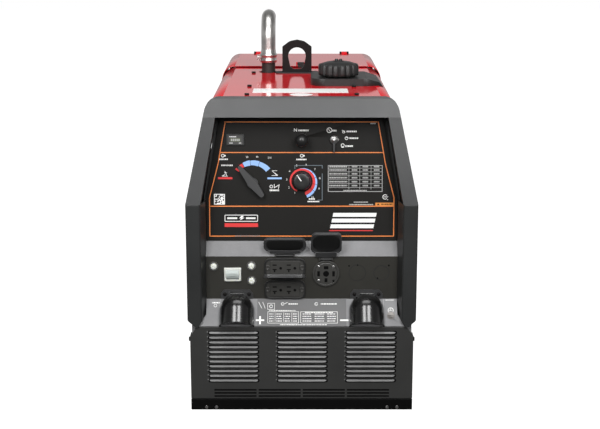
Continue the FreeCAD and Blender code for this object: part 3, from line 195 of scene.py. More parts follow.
MATERIALS = {
    "bezel": plain("bezel_finish", (0.032, 0.033, 0.034), 0.40, grain_scale=1500, grain=0.35),
    "charcoal": plain("charcoal_finish", (0.031, 0.031, 0.030), 0.40, grain_scale=1100, grain=0.3),
    "nameplate": plain("nameplate_finish", (0.0062, 0.0055, 0.0045), 0.5, mottle=0.1,
                       Specular_IOR_Level=0.22),
    "face": plain("outlet_face_finish", (0.026, 0.025, 0.021), 0.5, Specular_IOR_Level=0.35),
    "silver": speckled("silver_finish", (0.22, 0.22, 0.225), 0.62, metallic=0.3),
    "red": plain("red_finish", (0.62, 0.005, 0.012), 0.10, mottle=0.05, spread=0.02, grain_scale=500,
                 grain=0.04),
    "polished": brushed("polished_finish", (0.66, 0.65, 0.63), 0.34, (1, 1, 6), spread=0.1, mottle=0.25,
                        mottle_scale=30),
    "plated": plain("plated_finish", (0.62, 0.61, 0.60), 0.28, metallic=1.0, mottle=0.15),
    "black_steel": plain("black_steel_finish", (0.007, 0.006, 0.006), 0.42, grain_scale=500, grain=0.3,
                         Specular_IOR_Level=0.2),
    "stub": plain("stub_finish", (0.020, 0.015, 0.013), 0.6, mottle=0.4, mottle_scale=60, grain_scale=300,
                  grain=0.6),
    "rubber": plain("rubber_finish", (0.016, 0.016, 0.016), 0.7, grain_scale=700, grain=0.4),
    "black_plastic": plain("black_plastic_finish", (0.013, 0.013, 0.013), 0.45, grain_scale=1300, grain=0.3),
    "device": plain("device_finish", (0.045, 0.044, 0.041), 0.34, grain_scale=1500, grain=0.15),
    # painted shade: near-black flat shapes that stand for the shade inside slots, openings and small holes
    "hole": plain("hole_painted_shade_finish", (0.002, 0.002, 0.002), 0.8, grain=0, Specular_IOR_Level=0.1),
    "hood": plain("hood_finish", (0.005, 0.005, 0.005), 0.24, mottle=0.1, spread=0.04, grain_scale=900,
                  grain=0.06, Coat_Weight=0.7, Coat_Roughness=0.16),
    "knob": plain("knob_finish", (0.014, 0.014, 0.014), 0.3, grain_scale=1200, grain=0.12),
    "boot": plain("boot_finish", (0.72, 0.74, 0.68), 0.35, mottle=0.05, Subsurface_Weight=0.6,
                  Subsurface_Radius=(0.006, 0.006, 0.005), Subsurface_Scale=1.0),
    "boot_core": plain("boot_core_finish", (0.42, 0.46, 0.44), 0.35, mottle=0.1),
    "white_ink": plain("white_ink_finish", (0.86, 0.86, 0.84), 0.5, mottle=0.04),
    "soft_ink": plain("soft_ink_finish", (0.42, 0.42, 0.41), 0.5, mottle=0.06),
    "label": plain("label_finish", (0.86, 0.86, 0.85), 0.35, mottle=0.03),
    "aluminium": plain("cast_aluminium_finish", (0.50, 0.50, 0.51), 0.45, metallic=0.9, grain_scale=420,
                       grain=0.5, mottle=0.2),
    "iron": plain("iron_finish", (0.075, 0.075, 0.078), 0.55, metallic=0.4, grain_scale=380, grain=0.5),
    # painted shade: the bezel's grey made darker for the lower cheeks, as if they were in less light
    "cheek": plain("cheek_painted_shade_finish", (0.020, 0.021, 0.021), 0.42, grain_scale=1500, grain=0.35),
    "stud": plain("stud_finish", (0.20, 0.19, 0.18), 0.5, metallic=0.8, mottle=0.2),
    "floor": plain("floor_finish", (0.3, 0.3, 0.3), 0.9, mottle=0.01, grain=0,
                   Emission_Color=(1, 1, 1, 1), Emission_Strength=1.0),
    # painted highlight: the louvre blades, pressed from the charcoal sheet, get a much lighter grey for the
    # light on their upper faces
    "blade": plain("blade_painted_highlight_finish", (0.19, 0.19, 0.19), 0.26, grain_scale=900, grain=0.15),
    "lever": plain("lever_finish", (0.045, 0.045, 0.046), 0.36, grain_scale=1200, grain=0.15),
    # partly a grey decal, partly painted shade: darker in the middle of the ledge for the shade under the
    # panel above
    "decal": plain("decal_and_painted_shade_finish", (0.10, 0.10, 0.102), 0.5, mottle=0.05),
    "liner": plain("liner_finish", (0.008, 0.008, 0.008), 0.6),
    # partly the lids' own dark grey, partly painted highlight: made lighter so the lip edges read as bright
    # lines
    "lid": plain("lid_and_edge_highlight_finish", (0.040, 0.040, 0.041), 0.30, grain_scale=1200, grain=0.25),
    "pad": plain("pad_finish", (0.007, 0.007, 0.007), 0.30, grain_scale=900, grain=0.2),
    "meter": plain("meter_finish", (0.05, 0.05, 0.048), 0.35),
    "display": plain("display_finish", (0.13, 0.14, 0.10), 0.2, Coat_Weight=0.5),
    "base": plain("base_finish", (0.003, 0.003, 0.003), 0.42, grain_scale=500, grain=0.2,
                  Specular_IOR_Level=0.12),
}

for ink, colour in (("orange_ink", (0.85, 0.24, 0.05)), ("amber_ink", (0.72, 0.26, 0.04)),
                    ("red_ink", (0.72, 0.03, 0.03)), ("blue_ink", (0.30, 0.50, 0.90)),
                    ("slate_ink", (0.10, 0.13, 0.15))):
    MATERIALS[ink] = plain(ink + "_finish", colour, 0.5, mottle=0.05)

NODE_FINISH = {node: finish for finish, nodes in (
    ("base", "base_frame"),
    ("cheek", "bezel_cheeks"),
    ("bezel", "bezel_upper"),
    ("charcoal", "rear_frame rear_panel side_panel_left side_panel_right bulkhead"),
    ("nameplate", "nameplate_panel"),
    ("silver", "output_panel"),
    ("red", "roof engine_door"),
    ("black_steel", "door_hinge cover_screws lift_bail fuel_tank blower_housing"),
    ("rubber", "lift_eye_gasket door_latch fuel_cap_gasket rubber_mounts"),
    ("black_plastic", "filler_surround hour_meter range_switch output_rheostat air_cleaner battery"),
    ("stub", "muffler"),
    ("polished", "exhaust_elbow"),
    ("plated", "exhaust_clamp choke_bush engine_switch engine_switch_lever push_breakers"),
    ("knob", "choke_knob output_knob"),
    ("lever", "range_lever"),
    ("boot", "main_breaker breaker_button_1 breaker_button_2 breaker_button_3"),
    ("boot_core", "breaker_rocker"),
    ("device", "duplex_receptacles round_receptacle"),
    ("stud", "output_studs"),
    ("lid", "hood_hinges"),
    ("hood", "terminal_hood_left terminal_hood_right"),
    ("aluminium", "crankcase cylinders flywheel_fan rectifier"),
    ("iron", "rotor_shaft generator_frame reactor"),
) for node in nodes.split()}

# Edge radii of the CAD nodes that show, in millimetres.
BEVELS = {node: width for width, nodes in (
    (2.2, "bezel_upper bezel_cheeks"),
    (0.6, "roof engine_door"),
    (2.5, "filler_surround"),
    (1.2, "lift_bail engine_switch_lever door_latch"),
    (1.0, "lift_eye_gasket base_frame rear_frame"),
    (0.7, "side_panel_left side_panel_right rear_panel hood_hinges"),
    (0.8, "cover_screws hour_meter"),
    (0.5, "exhaust_clamp output_studs output_panel door_hinge rectifier"),
    (0.4, "choke_bush engine_switch nameplate_panel"),
    (1.4, "range_lever"),
    (0.9, "main_breaker"),
    (5.0, "air_cleaner"),
    (3.0, "battery"),
    (2.0, "crankcase"),
    (4.0, "fuel_tank"),
) for node in nodes.split()}


def dress_frame():
    """Give every CAD node its finish, and soften the edges of the ones that show."""
    for name, node in NODES.items():
        if name in NODE_FINISH:
            node.data.materials.clear()
            node.data.materials.append(MATERIALS[NODE_FINISH[name]])
        if name in BEVELS:
            weld = node.modifiers.new("weld", "WELD")
            weld.merge_threshold = 0.00001
            soften(node, BEVELS[name] * MM, 2)


def soften(piece, width, segments):
    """Round the sharp edges of a piece."""
    bevel = piece.modifiers.new("edges", "BEVEL")
    bevel.width = width
    bevel.segments = segments
    bevel.limit_method = "ANGLE"
    bevel.angle_limit = math.radians(40)
    bevel.harden_normals = False
    bevel.use_clamp_overlap = True


# ---------------------------------------------------------------- mesh tools

def rectangle(x0, y0, x1, y1):
    """Corners of a rectangle, counterclockwise."""
    return [(x0, y0), (x1, y0), (x1, y1), (x0, y1)]


def rounded_rectangle(x0, y0, x1, y1, radius, steps=6):
    """Outline of a rectangle with round corners."""
    points = []
    corners = [(x1 - radius, y0 + radius, -90), (x1 - radius, y1 - radius, 0),
               (x0 + radius, y1 - radius, 90), (x0 + radius, y0 + radius, 180)]
    for cx, cy, start in corners:
        for step in range(steps + 1):
            angle = math.radians(start + 90 * step / steps)
            points.append((cx + radius * math.cos(angle), cy + radius * math.sin(angle)))
    return points


def circle(cx, cy, radius, count=32):
    """Points round a circle."""
    return [(cx + radius * math.cos(2 * math.pi * step / count),
             cy + radius * math.sin(2 * math.pi * step / count)) for step in range(count)]


def band(cx, cy, inner, outer, start, end, steps=24):
    """Outline of a piece of ring; inner and outer are radii at the start and at the end."""
    points = []
    for radii, order in ((outer, range(steps + 1)), (inner, range(steps, -1, -1))):
        for step in order:
            share = step / steps
            radius = radii[0] + (radii[1] - radii[0]) * share
            angle = math.radians(start + (end - start) * share)
            points.append((cx + radius * math.cos(angle), cy + radius * math.sin(angle)))
    return points


def ring_mark(cx, cy, inner, outer, start=0, end=350, steps=14):
    """Outline of an almost closed ring."""
    return band(cx, cy, (inner, inner), (outer, outer), start, end, steps)


def line(x0, y0, x1, y1, width):
    """Outline of a straight stroke."""
    along = Vector((x1 - x0, y1 - y0)).normalized() * width / 2
    side = Vector((-along.y, along.x))
    return [(x0 + side.x, y0 + side.y), (x0 - side.x, y0 - side.y),
            (x1 - side.x, y1 - side.y), (x1 + side.x, y1 + side.y)]


def border(x0, y0, x1, y1, width):
    """Outlines of the four strokes of a rectangle's border."""
    return [rectangle(x0, y0, x1, y0 + width), rectangle(x0, y1 - width, x1, y1),
            rectangle(x0, y0, x0 + width, y1), rectangle(x1 - width, y0, x1, y1)]


def row_of(bm, points, place):
    """Add vertices at points given in millimetres, set in a local frame."""
    return [bm.verts.new(place @ Vector((x * MM, y * MM, z * MM))) for x, y, z in points]


def lifted(outline, height):
    """An outline's points, all at one height."""
    return [(x, y, height) for x, y in outline]


def bridge(bm, first, second, closed=True):
    """Join two rows of vertices with a strip of faces."""
    count = len(first)
    for step in range(count if closed else count - 1):
        following = (step + 1) % count
        bm.faces.new([first[step], first[following], second[following], second[step]])


def prism(bm, outline, low, high, place):
    """Add a prism over an outline given in millimetres, between two heights, set in a local frame."""
    lower = row_of(bm, lifted(outline, low), place)
    upper = row_of(bm, lifted(outline, high), place)
    bm.faces.new(list(reversed(lower)))
    bm.faces.new(upper)
    bridge(bm, lower, upper)


def hoop(bm, outer, inner, low, high, place):
    """Add a flat ring between two outlines with the same number of points."""
    rows = [row_of(bm, lifted(outline, height), place)
            for outline, height in ((outer, low), (outer, high), (inner, high), (inner, low))]
    for first, second in zip(rows, rows[1:] + rows[:1]):
        bridge(bm, first, second)


def turned(bm, profile, place, segments=48, wobble=None):
    """Add a solid of revolution about a local frame's Z, from (radius, height) points in millimetres.

    wobble(angle, radius, height) may give another radius, for lobes and scallops."""
    rings = []
    for radius, height in profile:
        ring = []
        for step in range(segments):
            angle = 2 * math.pi * step / segments
            reach = wobble(angle, radius, height) if wobble else radius
            ring.append((reach * math.cos(angle), reach * math.sin(angle), height))
        rings.append(row_of(bm, ring, place))
    for low, high in zip(rings, rings[1:]):
        bridge(bm, low, high)
    bm.faces.new(list(reversed(rings[0])))
    bm.faces.new(rings[-1])


def at(place, x, y, out=0.0):
    """A local frame moved along itself, in millimetres."""
    return place @ Matrix.Translation((x * MM, y * MM, out * MM))


def piece_from(bm, name, finish, body, bevel=0.0, smooth=True, angle=35, replaces=()):
    """Turn a bmesh into a named piece that rides on a body."""
    bmesh.ops.recalc_face_normals(bm, faces=bm.faces[:])
    mesh = bpy.data.meshes.new(name)
    bm.to_mesh(mesh)
    bm.free()
    piece = bpy.data.objects.new(name, mesh)
    bpy.context.scene.collection.objects.link(piece)
    mesh.materials.append(MATERIALS[finish])
    if smooth:
        mesh.shade_smooth()
        mesh.set_sharp_from_angle(angle=math.radians(angle))
    if bevel:
        soften(piece, bevel * MM, 3)
    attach(piece, body)
    if replaces:
        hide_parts(*replaces)
    return piece


def printed(name, finish, outlines, place, slot, body="case", lift=0.0, thickness=0.25, texts=()):
    """Ink on a face: thin flat shapes, all in one piece."""
    bm = bmesh.new()
    for outline in outlines:
        prism(bm, outline, -0.2 + lift, thickness + lift, place)
    for words in texts:
        add_text(bm, *words, place, lift, thickness)
    return piece_from(bm, name, finish, body, smooth=False)


def on_plate(name, finish, outlines, **options):
    """Ink on the nameplate."""
    printed(name, finish, outlines, PLATE, "black_panel", **options)


def add_text(bm, words, x, y, size, place, lift, thickness):
    """Add dial figures, centred on a point, to a bmesh."""
    curve = bpy.data.curves.new("figures", "FONT")
    curve.body = words
    curve.size = size * MM
    curve.align_x = "CENTER"
    curve.align_y = "CENTER"
    curve.extrude = thickness / 2 * MM
    curve.resolution_u = 2
    holder = bpy.data.objects.new("figures", curve)
    bpy.context.scene.collection.objects.link(holder)
    bpy.context.view_layer.update()
    mesh = bpy.data.meshes.new_from_object(holder)
    mesh.transform(at(place, x, y, lift + thickness / 2))
    bm.from_mesh(mesh)
    bpy.data.objects.remove(holder)
    bpy.data.curves.remove(curve)
    bpy.data.meshes.remove(mesh)


def dashes(x0, y, x1, height, seed, gap=1.2, longest=6.0):
    """A row of short bars that stands for a line of small print."""
    chooser = random.Random(seed)
    outlines = []
    x = x0
    while x < x1 - 1.0:
        length = min(chooser.uniform(1.4, longest), x1 - x)
        outlines.append(rectangle(x, y - height / 2, x + length, y + height / 2))
        x += length + gap
    return outlines


# ---------------------------------------------------------------- nameplate graphics

RANGE = (-117.7, 139.4)
DIAL = (0.0, 144.0)
ROW = 243.0
METER_X = -158.9
SWITCH_X = 77
POINTER = math.radians(126)


def plate_lines():
    """Orange border and dividers of the nameplate."""
    outlines = [line(-184.8, 285.6, 180.5, 285.6, 2.4), line(-195.6, 212.6, 194.8, 212.6, 2.2),
                line(-221.5, 83.6, 221.9, 83.6, 2.4), line(-220.4, 11.4, 220.6, 11.4, 2.2)]
    for side in (-1, 1):
        outlines.append(line(side * 182.6, 286.5, side * 200.5, 184.5, 2.2))
        outlines.append(line(side * 200.5, 185, side * 221.4, 104.0, 2.2))
        outlines.append(line(side * 221.4, 104.5, side * 220.9, 10.5, 2.2))
    on_plate("plate_border", "orange_ink", outlines)


def dial_graphics():
    """Scales of the range switch and of the output dial."""
    red = [band(*DIAL, (24.5, 26.5), (27.5, 34.0), 245, -62, 60)]
    red += [band(*DIAL, (26.5, 27.0), (34.0, 34.5), -62, -75, 6)]
    blue = [band(*DIAL, (29.5, 35.0), (30.0, 42.0), 100, -72, 48)]
    cuts = [band(*DIAL, (25.5, 25.5), (42.5, 42.5), angle, angle - 1.5, 2)
            for angle in (40, 15, -12, -38)]
    figures = []
    for mark in range(10):
        angle = math.radians(240 - 33 * mark)
        reach = 33 + 14 * mark / 9
        figures.append((str(mark + 1), DIAL[0] + reach * math.cos(angle),
                        DIAL[1] + reach * math.sin(angle), 7.0))
    x0, x1, y0, y1 = DIAL[0] - 17.5, DIAL[0] + 50, DIAL[1] - 46.5, DIAL[1] + 38.5
    slate = [rectangle(x0, y1 - 1.7, x1, y1), rectangle(x0, y1 - 9, x0 + 1.8, y1),
             rectangle(x1 - 1.9, y1 - 8, x1, y1), rectangle(x1 - 1.9, y0, x1, y1 - 20),
             rectangle(x1 - 12, y0, x1, y0 + 1.8)]
    for start, end, steps in ((141.5, 136.5, 4), (127, 117.5, 8)):
        red.append(band(*RANGE, (43, 43), (53, 53), start, end, steps))
    red += [rectangle(-200.8, 148.8, -166.3, 153.4)]
    for start, end in ((116.5, 97), (96, 72), (71, 40)):
        blue.append(band(*RANGE, (43, 42), (54, 55), start, end, 12))
    blue.append(rectangle(-82.3, 148.6, -48.0, 153.0))
    figures += [("50", -131, 202, 6.0), ("90", -106.8, 202, 6.0), ("210", -77, 200, 6.0)]
    on_plate("scale_red", "red_ink", red)
    on_plate("scale_blue", "blue_ink", blue, lift=0.02)
    on_plate("scale_gaps", "nameplate", cuts, lift=0.08)
    on_plate("scale_bracket", "slate_ink", slate)
    on_plate("scale_figures", "white_ink", [], texts=figures)


def plate_symbols():
    """Small generic symbols and lines of print on the nameplate."""
    white = [line(-18, 270, -18, 263, 1.3), line(-18, 270, -12, 263, 1.3), line(-12, 270, -12, 263, 1.3)]
    white += [ring_mark(66, 266, 5.0, 6.6, steps=20), line(62, 271, 70, 261, 1.2)]
    white += [line(96, 266, 104, 261, 1.5), ring_mark(100, 262, 2.2, 3.4)]
    white += [ring_mark(107, 247, 2.8, 4.2), line(104, 250, 112, 247, 1.2)]
    white += [ring_mark(98, 230, 3.0, 4.4), rectangle(95, 224.4, 101, 226)]
    white += [ring_mark(-189, 205, 2.6, 4.2), circle(-184, 205, 2.3, 12)]
    white += [line(-184, 168, -180, 157, 1.3), line(-184, 160, -191, 156, 1.3),
              line(-186, 164, -179, 164, 1.2), line(-190, 156, -177, 156, 1.2)]
    white += [ring_mark(0, 205, 2.6, 4.2), circle(5, 205, 2.3, 12)]
    white += [line(-71, 169, -60, 158, 1.1), line(-71, 169, -59, 169, 1.1), line(-64, 163, -57, 158, 1.1),
              line(-72, 157.5, -58, 157.5, 1.1)]
    white += [ring_mark(-73, 131, 2.6, 4.0), line(-66, 127, -66, 137, 1.4),
              line(-66, 128, -56, 134, 1.4), line(-56, 126, -54, 136, 1.4)]
    prints = ((-8, 265.5, 16, 4.0, 3, 0.9, 4), (72, 265, 84, 4.0, 4, 0.9, 4),
              (107, 263, 131, 3.6, 5, 0.9, 4), (114, 247, 135, 3.6, 6, 0.9, 4),
              (104, 228, 122, 4.0, 7, 0.9, 4), (-197.5, 196.5, -177, 3.4, 10, 0.8, 4),
              (-192.5, 182, -165.5, 3.2, 12, 1.0, 3), (-13, 196, 11.5, 3.4, 11, 0.8, 4),
              (-77, 122, -54, 4.0, 13, 0.8, 4), (17, 101, 32, 3.4, 15, 0.7, 3),
              (14, 95, 42, 3.0, 16, 0.7, 6))
    for x0, y, x1, height, seed, gap, longest in prints:
        white += dashes(x0, y, x1, height, seed, gap, longest)
    on_plate("plate_symbols", "white_ink", white)
    soft = border(62.8, 118.4, 193.5, 182.2, 1.4)
    rows = (128.5, 138, 147.5, 157, 166.5, 175)
    for y in rows:
        soft.append(rectangle(62.8, y - 0.4, 193.5, y + 0.4))
    for x in (113, 139, 166):
        soft.append(rectangle(x - 0.4, 124, x + 0.4, 182.2))
    for row, y in enumerate((178.8, 170.8, 161.6, 152.2, 142.6, 133.2)):
        soft += dashes(66, y, 109, 3.2, 20 + row, gap=0.8, longest=5)
        for column, x in enumerate((120, 146, 173)):
            soft += dashes(x, y, x + 13, 3.4, 40 + 10 * row + column, gap=0.6, longest=3)
    soft += dashes(100, 121.6, 156, 2.2, 89, gap=0.7)
    soft += dashes(125, 93.5, 160, 2.4, 90, gap=0.7) + dashes(114, 87.5, 172, 2.6, 91, gap=0.7)
    soft += dashes(164, 282, 178, 2.6, 92, gap=0.7)
    soft += dashes(-160, 11.6, -101, 2.6, 93, gap=0.6)
    on_plate("plate_table", "soft_ink", soft)
    mark = [ring_mark(200, 106, 4.6, 6.2, 40, 320, 18), line(198, 106, 207, 106, 1.6),
            circle(206, 99.5, 1.1, 10)]
    on_plate("plate_mark", "white_ink", mark)


def plate_square():
    """Light square with a plain chequer pattern."""
    on_plate("square_label", "label", [rectangle(-210.6, 87.5, -184.4, 113.3)])
    chooser = random.Random(7)
    cells = []
    for column in range(9):
        for row in range(9):
            if chooser.random() < 0.45:
                x = -208.4 + column * 2.4
                y = 89.7 + row * 2.4
                cells.append(rectangle(x, y, x + 2.4, y + 2.4))
    on_plate("square_pattern", "nameplate", cells, lift=0.08)
    amber = [rectangle(176.7, 84.5, 221.2, 92.2)]
    on_plate("amber_strip", "amber_ink", amber)
    marks = [[(180, 86), (187, 86), (183.5, 91)]] + dashes(191, 88.4, 217, 2.8, 94)
    on_plate("amber_marks", "nameplate", marks, lift=0.08)


def slanted(x0, y0, width, height, lean=0.22):
    """Outline of a block that leans to the right."""
    push = lean * height
    return [(x0, y0), (x0 + width, y0), (x0 + width + push, y0 + height), (x0 + push, y0 + height)]


def plate_badges():
    """Two plain badges: a spark in an outlined box over a red bar, and three leaning bars over a red line."""
    outline = rounded_rectangle(-185.3, 46.4, -105.2, 63.0, 2.0, 3)
    inside = rounded_rectangle(-183.7, 48.0, -106.8, 61.4, 1.2, 3)
    bm = bmesh.new()
    hoop(bm, outline, inside, -0.2, 0.25, PLATE)
    piece_from(bm, "left_badge_frame", "white_ink", "case", smooth=False)
    spark = [(-145, 60.6), (-139, 60.6), (-143, 56.0), (-137.5, 56.0), (-149, 48.8), (-145.5, 54.2),
             (-150.5, 54.2)]
    bars = [rectangle(-179, 52.6, -155, 56.8), rectangle(-134, 52.6, -111, 56.8)]
    on_plate("left_badge_white", "white_ink", [spark] + bars)
    on_plate("left_badge_red", "red_ink", [rectangle(-185.3, 33.4, -105.2, 42.6)])
    leaning = [slanted(68 + 3 * row, 30.5 + 13.8 * row, 104, 9.4) for row in range(3)]
    on_plate("right_badge_white", "white_ink", leaning)
    on_plate("right_badge_red", "red_ink", [rectangle(66, 23.6, 171, 25.8)])


# ---------------------------------------------------------------- controls

def hour_window():
    """Glass and drum figures of the hour meter."""
    x = METER_X
    bm = bmesh.new()
    prism(bm, rounded_rectangle(x - 18, ROW - 11, x + 18, ROW + 11, 1.5), 2.2, 4.3, PLATE)
    piece_from(bm, "hour_meter_face", "meter", "case", bevel=0.5)
    bm = bmesh.new()
    prism(bm, rounded_rectangle(x - 12.5, ROW - 4.4, x + 12.5, ROW + 4.4, 0.8), 4.2, 4.5, PLATE)
    piece_from(bm, "hour_meter_glass", "display", "case")
    cells = [rectangle(x - 10 + 4.4 * index, ROW - 2.6, x - 7.0 + 4.4 * index, ROW + 2.6)
             for index in range(5)]
    printed("hour_meter_cells", "soft_ink", cells, PLATE, "black_plastic", lift=4.45)
    rows = dashes(x - 14, ROW + 7.5, x + 4, 2.0, 60, gap=0.6)
    rows += dashes(x - 14, ROW - 7.5, x - 6, 1.6, 61, gap=0.6)
    rows += dashes(x + 9, ROW - 7.5, x + 15, 1.6, 62, gap=0.6)
    printed("hour_meter_rows", "white_ink", rows, PLATE, "black_plastic", lift=4.25)


def choke_cap():
    """Ball grip of the choke with a flattened front and a moulded collar."""
    bm = bmesh.new()
    profile = [(5.5, 16), (6.5, 17.5)]
    for step in range(15):
        angle = math.radians(-62 + 142 * step / 14)
        profile.append((15.8 * math.cos(angle), 30 + 15.8 * math.sin(angle)))
    turned(bm, profile, at(PLATE, 0, ROW), 48)
    shank = [(3, -20), (3, 16.2)]
    turned(bm, shank, at(PLATE, 0, ROW), 24)
    piece_from(bm, "choke_grip", "knob", "choke", angle=60, replaces=["choke_knob"])


def dial_cap():
    """Scalloped output knob with a white pointer."""
    bm = bmesh.new()

    def scallop(angle, radius, height):
        return radius - (0.9 * max(0.0, math.cos(12 * angle)) ** 3 if radius > 15 and 6 < height < 20 else 0)

    profile = [(21.5, 4.6), (22.6, 5.6), (22.4, 7.5), (21.6, 8.5), (20.6, 18.5), (19.4, 20.6), (17.5, 21.4),
               (8, 20.8), (0.5, 20.6)]
    turned(bm, profile, at(PLATE, *DIAL), 96, scallop)
    turned(bm, [(3, -20), (3, 5)], at(PLATE, *DIAL), 24)
    piece_from(bm, "dial_knob", "knob", "output_dial", angle=45, replaces=["output_knob"])
    along = Vector((math.cos(POINTER), math.sin(POINTER)))
    start, end = Vector(DIAL) + along * 2, Vector(DIAL) + along * 19.5
    printed("dial_pointer", "white_ink", [line(*start, *end, 2.6)], PLATE, "black_plastic",
            body="output_dial", lift=21.0)


def switch_bat():
    """Bright hub of the engine switch and its thin dark lever."""
    hub = at(PLATE, SWITCH_X, ROW)
    bm = bmesh.new()
    turned(bm, [(4, -20), (4, 2.6), (9.8, 2.6), (9.8, 4.6), (8.4, 6.4), (6.2, 7.0), (5.6, 8.8), (4.6, 10.6),
                (2.6, 11.6), (0.4, 11.8)], hub, 40)
    piece_from(bm, "switch_hub", "plated", "engine_switch_lever", angle=40,
               replaces=["engine_switch_lever"])
    bm = bmesh.new()
    bat = [(-2.6, ROW - 5), (2.6, ROW - 5), (2.2, 214), (0, 212), (-2.2, 214)]
    prism(bm, [(SWITCH_X + x, y) for x, y in bat], 4.2, 8.4, PLATE)
    piece_from(bm, "switch_bat", "lever", "engine_switch_lever", bevel=1.1)


# ---------------------------------------------------------------- breakers and outlets

BUTTONS = ((-211.0, 351.5), (-120.7, 352.5), (-120.2, 315.7))
MAIN_BREAKER = (-166.0, 331.3)
DUPLEX_X = -40.5
DUPLEX_ROWS = (293.7, 348.3)
ROUND_OUTLET = (58.3, 333.8)
HOOD_X = 156


def breaker_boots():
    """Clear rubber boots over the push buttons, with their hex collars."""
    for number, (x, z) in enumerate(BUTTONS, start=1):
        bm = bmesh.new()
        profile = [(7.4, -6), (7.4, 3.5), (7.2, 6.5), (6.2, 8.3), (4.4, 9.2), (2.2, 8.7), (0.4, 8.4)]
        turned(bm, profile, at(PANEL, x, z), 40)
        piece_from(bm, "button_boot_%d" % number, "boot", "button_%d" % number, angle=50,
                   replaces=["breaker_button_%d" % number])
        bm = bmesh.new()
        turned(bm, [(10.6, 0), (10.6, 1.8), (9.8, 2.5), (8.0, 2.5), (8.0, 2.0)], at(PANEL, x, z), 6)
        piece_from(bm, "button_nut_%d" % number, "boot", "case", bevel=0.3)


def main_breaker_boot():
    """Square rubber boot with a raised window over the rocker."""
    x, z = MAIN_BREAKER
    bm = bmesh.new()
    outline = rounded_rectangle(x - 19.6, z - 16.4, x + 19.6, z + 16.4, 3.5)
    ring = rounded_rectangle(x - 15, z - 12.4, x + 15, z + 12.4, 3)
    lower = row_of(bm, lifted(outline, 2.5), PANEL)
    middle = row_of(bm, lifted(outline, 5.0), PANEL)
    upper = row_of(bm, lifted(ring, 5.5), PANEL)
    bridge(bm, lower, middle)
    bridge(bm, middle, upper)
    bm.faces.new(list(reversed(lower)))
    bm.faces.new(upper)
    piece_from(bm, "main_breaker_boot", "boot", "case", bevel=0.8)
    bm = bmesh.new()
    lozenge = rounded_rectangle(x - 8.5, z - 3.5, x + 8.5, z + 9.5, 2.5)
    prism(bm, lozenge, 5.0, 8.2, PANEL)
    piece_from(bm, "main_breaker_window", "boot_core", "case", bevel=1.6)
    ticks = [rectangle(x + dx - 2, z + dz - 1, x + dx + 2, z + dz + 1)
             for dx in (-11, 11) for dz in (-22, 22)]
    printed("main_breaker_ticks", "black_plastic", ticks, PANEL, "black_plastic", lift=0.2)


def outlet_faces():
    """Raised faces and screw bosses of the twin outlets, with their slots drawn as painted shade."""
    for number, z in enumerate(DUPLEX_ROWS, start=1):
        bm = bmesh.new()
        prism(bm, rounded_rectangle(DUPLEX_X - 35, z - 16.5, DUPLEX_X + 35, z + 16.5, 2.2), 3.0, 5.2, PANEL)
        for side in (-1, 1):
            boss = at(PANEL, DUPLEX_X + side * 41.5, z)
            turned(bm, [(6.2, 2.6), (6.2, 4.4), (5.2, 5.2), (3.4, 4.8), (3.0, 3.9), (0.3, 3.9)], boss, 28)
        piece_from(bm, "outlet_face_%d" % number, "device", "case", bevel=0.5)
        bm = bmesh.new()
        ring_outer = rounded_rectangle(DUPLEX_X - 49, z - 23, DUPLEX_X + 49, z + 23, 14)
        ring_inner = rounded_rectangle(DUPLEX_X - 45.5, z - 19.8, DUPLEX_X + 45.5, z + 19.8, 12)
        hoop(bm, ring_outer, ring_inner, 2.8, 5.6, PANEL)
        piece_from(bm, "outlet_rim_%d" % number, "black_plastic", "case", bevel=0.9)
        slots = []
        for middle in (DUPLEX_X - 17, DUPLEX_X + 17):
            left = middle - 7.5
            slots.append(rounded_rectangle(left - 5, z + 5.6, left + 5, z + 8.4, 0.8, 2))
            slots.append(rectangle(left - 5, z - 5.4, left + 5, z - 2.8))
            slots.append(rectangle(left - 1.6, z - 10.6, left + 1.6, z - 5.2))
            slots.append(circle(middle + 7, z - 1, 3.3, 20))
        # painted shade: the slots are flat near-black shapes on the outlet face
        printed("outlet_slot_shades_%d" % number, "hole", slots, PANEL, "black_plastic", lift=5.1, thickness=0.2)


def round_outlet():
    """Ringed face of the large outlet, with its slots drawn as painted shade, and its bright screws."""
    x, z = ROUND_OUTLET
    spot = at(PANEL, x, z)
    bm = bmesh.new()
    profile = [(32.4, 2.6), (32.4, 4.6), (31.2, 5.6), (28.6, 5.6), (28.0, 4.1), (27.2, 3.7), (26.6, 4.9),
               (25.6, 5.5), (0.5, 5.5)]
    turned(bm, profile, spot, 64)
    piece_from(bm, "round_outlet_face", "device", "case", angle=30)
    slots = [rounded_rectangle(x - 5.4, z + 11.4, x + 5.4, z + 18.8, 1, 2), circle(x, z, 7.2, 24),
             rectangle(x - 21, z - 6.4, x - 15, z + 6.4), rectangle(x + 15, z - 6.4, x + 21, z + 6.4),
             rectangle(x - 3.4, z - 21, x + 3.4, z - 11), circle(x + 17.8, z - 17.6, 2.6, 16)]
    # painted shade: the slots are flat near-black shapes on the outlet face
    printed("round_outlet_slot_shades", "hole", slots, PANEL, "black_plastic", lift=5.4, thickness=0.2)
    bm = bmesh.new()
    for dx, dz in ((-17.6, 17.4), (17.8, 17.6), (-17.6, -17.2)):
        turned(bm, [(2.9, 5.3), (2.9, 5.8), (2.3, 6.2), (0.3, 6.2)], at(PANEL, x + dx, z + dz), 20)
    piece_from(bm, "round_outlet_screws", "plated", "case")


def blank_covers():
    """Two pressed blanks and their locating dots, the dots drawn as painted shade."""
    bm = bmesh.new()
    for x, radius in ((133.4, 20.5), (191.4, 19)):
        outer = circle(x, 334.6, radius, 48)
        inner = circle(x, 334.6, radius - 1.3, 48)
        hoop(bm, outer, inner, -0.1, 0.5, PANEL)
    piece_from(bm, "blank_rings", "liner", "case")
    # painted shade: small near-black dots in the hole finish
    dots = [circle(x, z, 2.1, 16) for x, z in ((113.5, 352), (209, 353), (182, 321), (134, 354))]
    printed("blank_dot_shades", "hole", dots, PANEL, "black_plastic", lift=0.1)


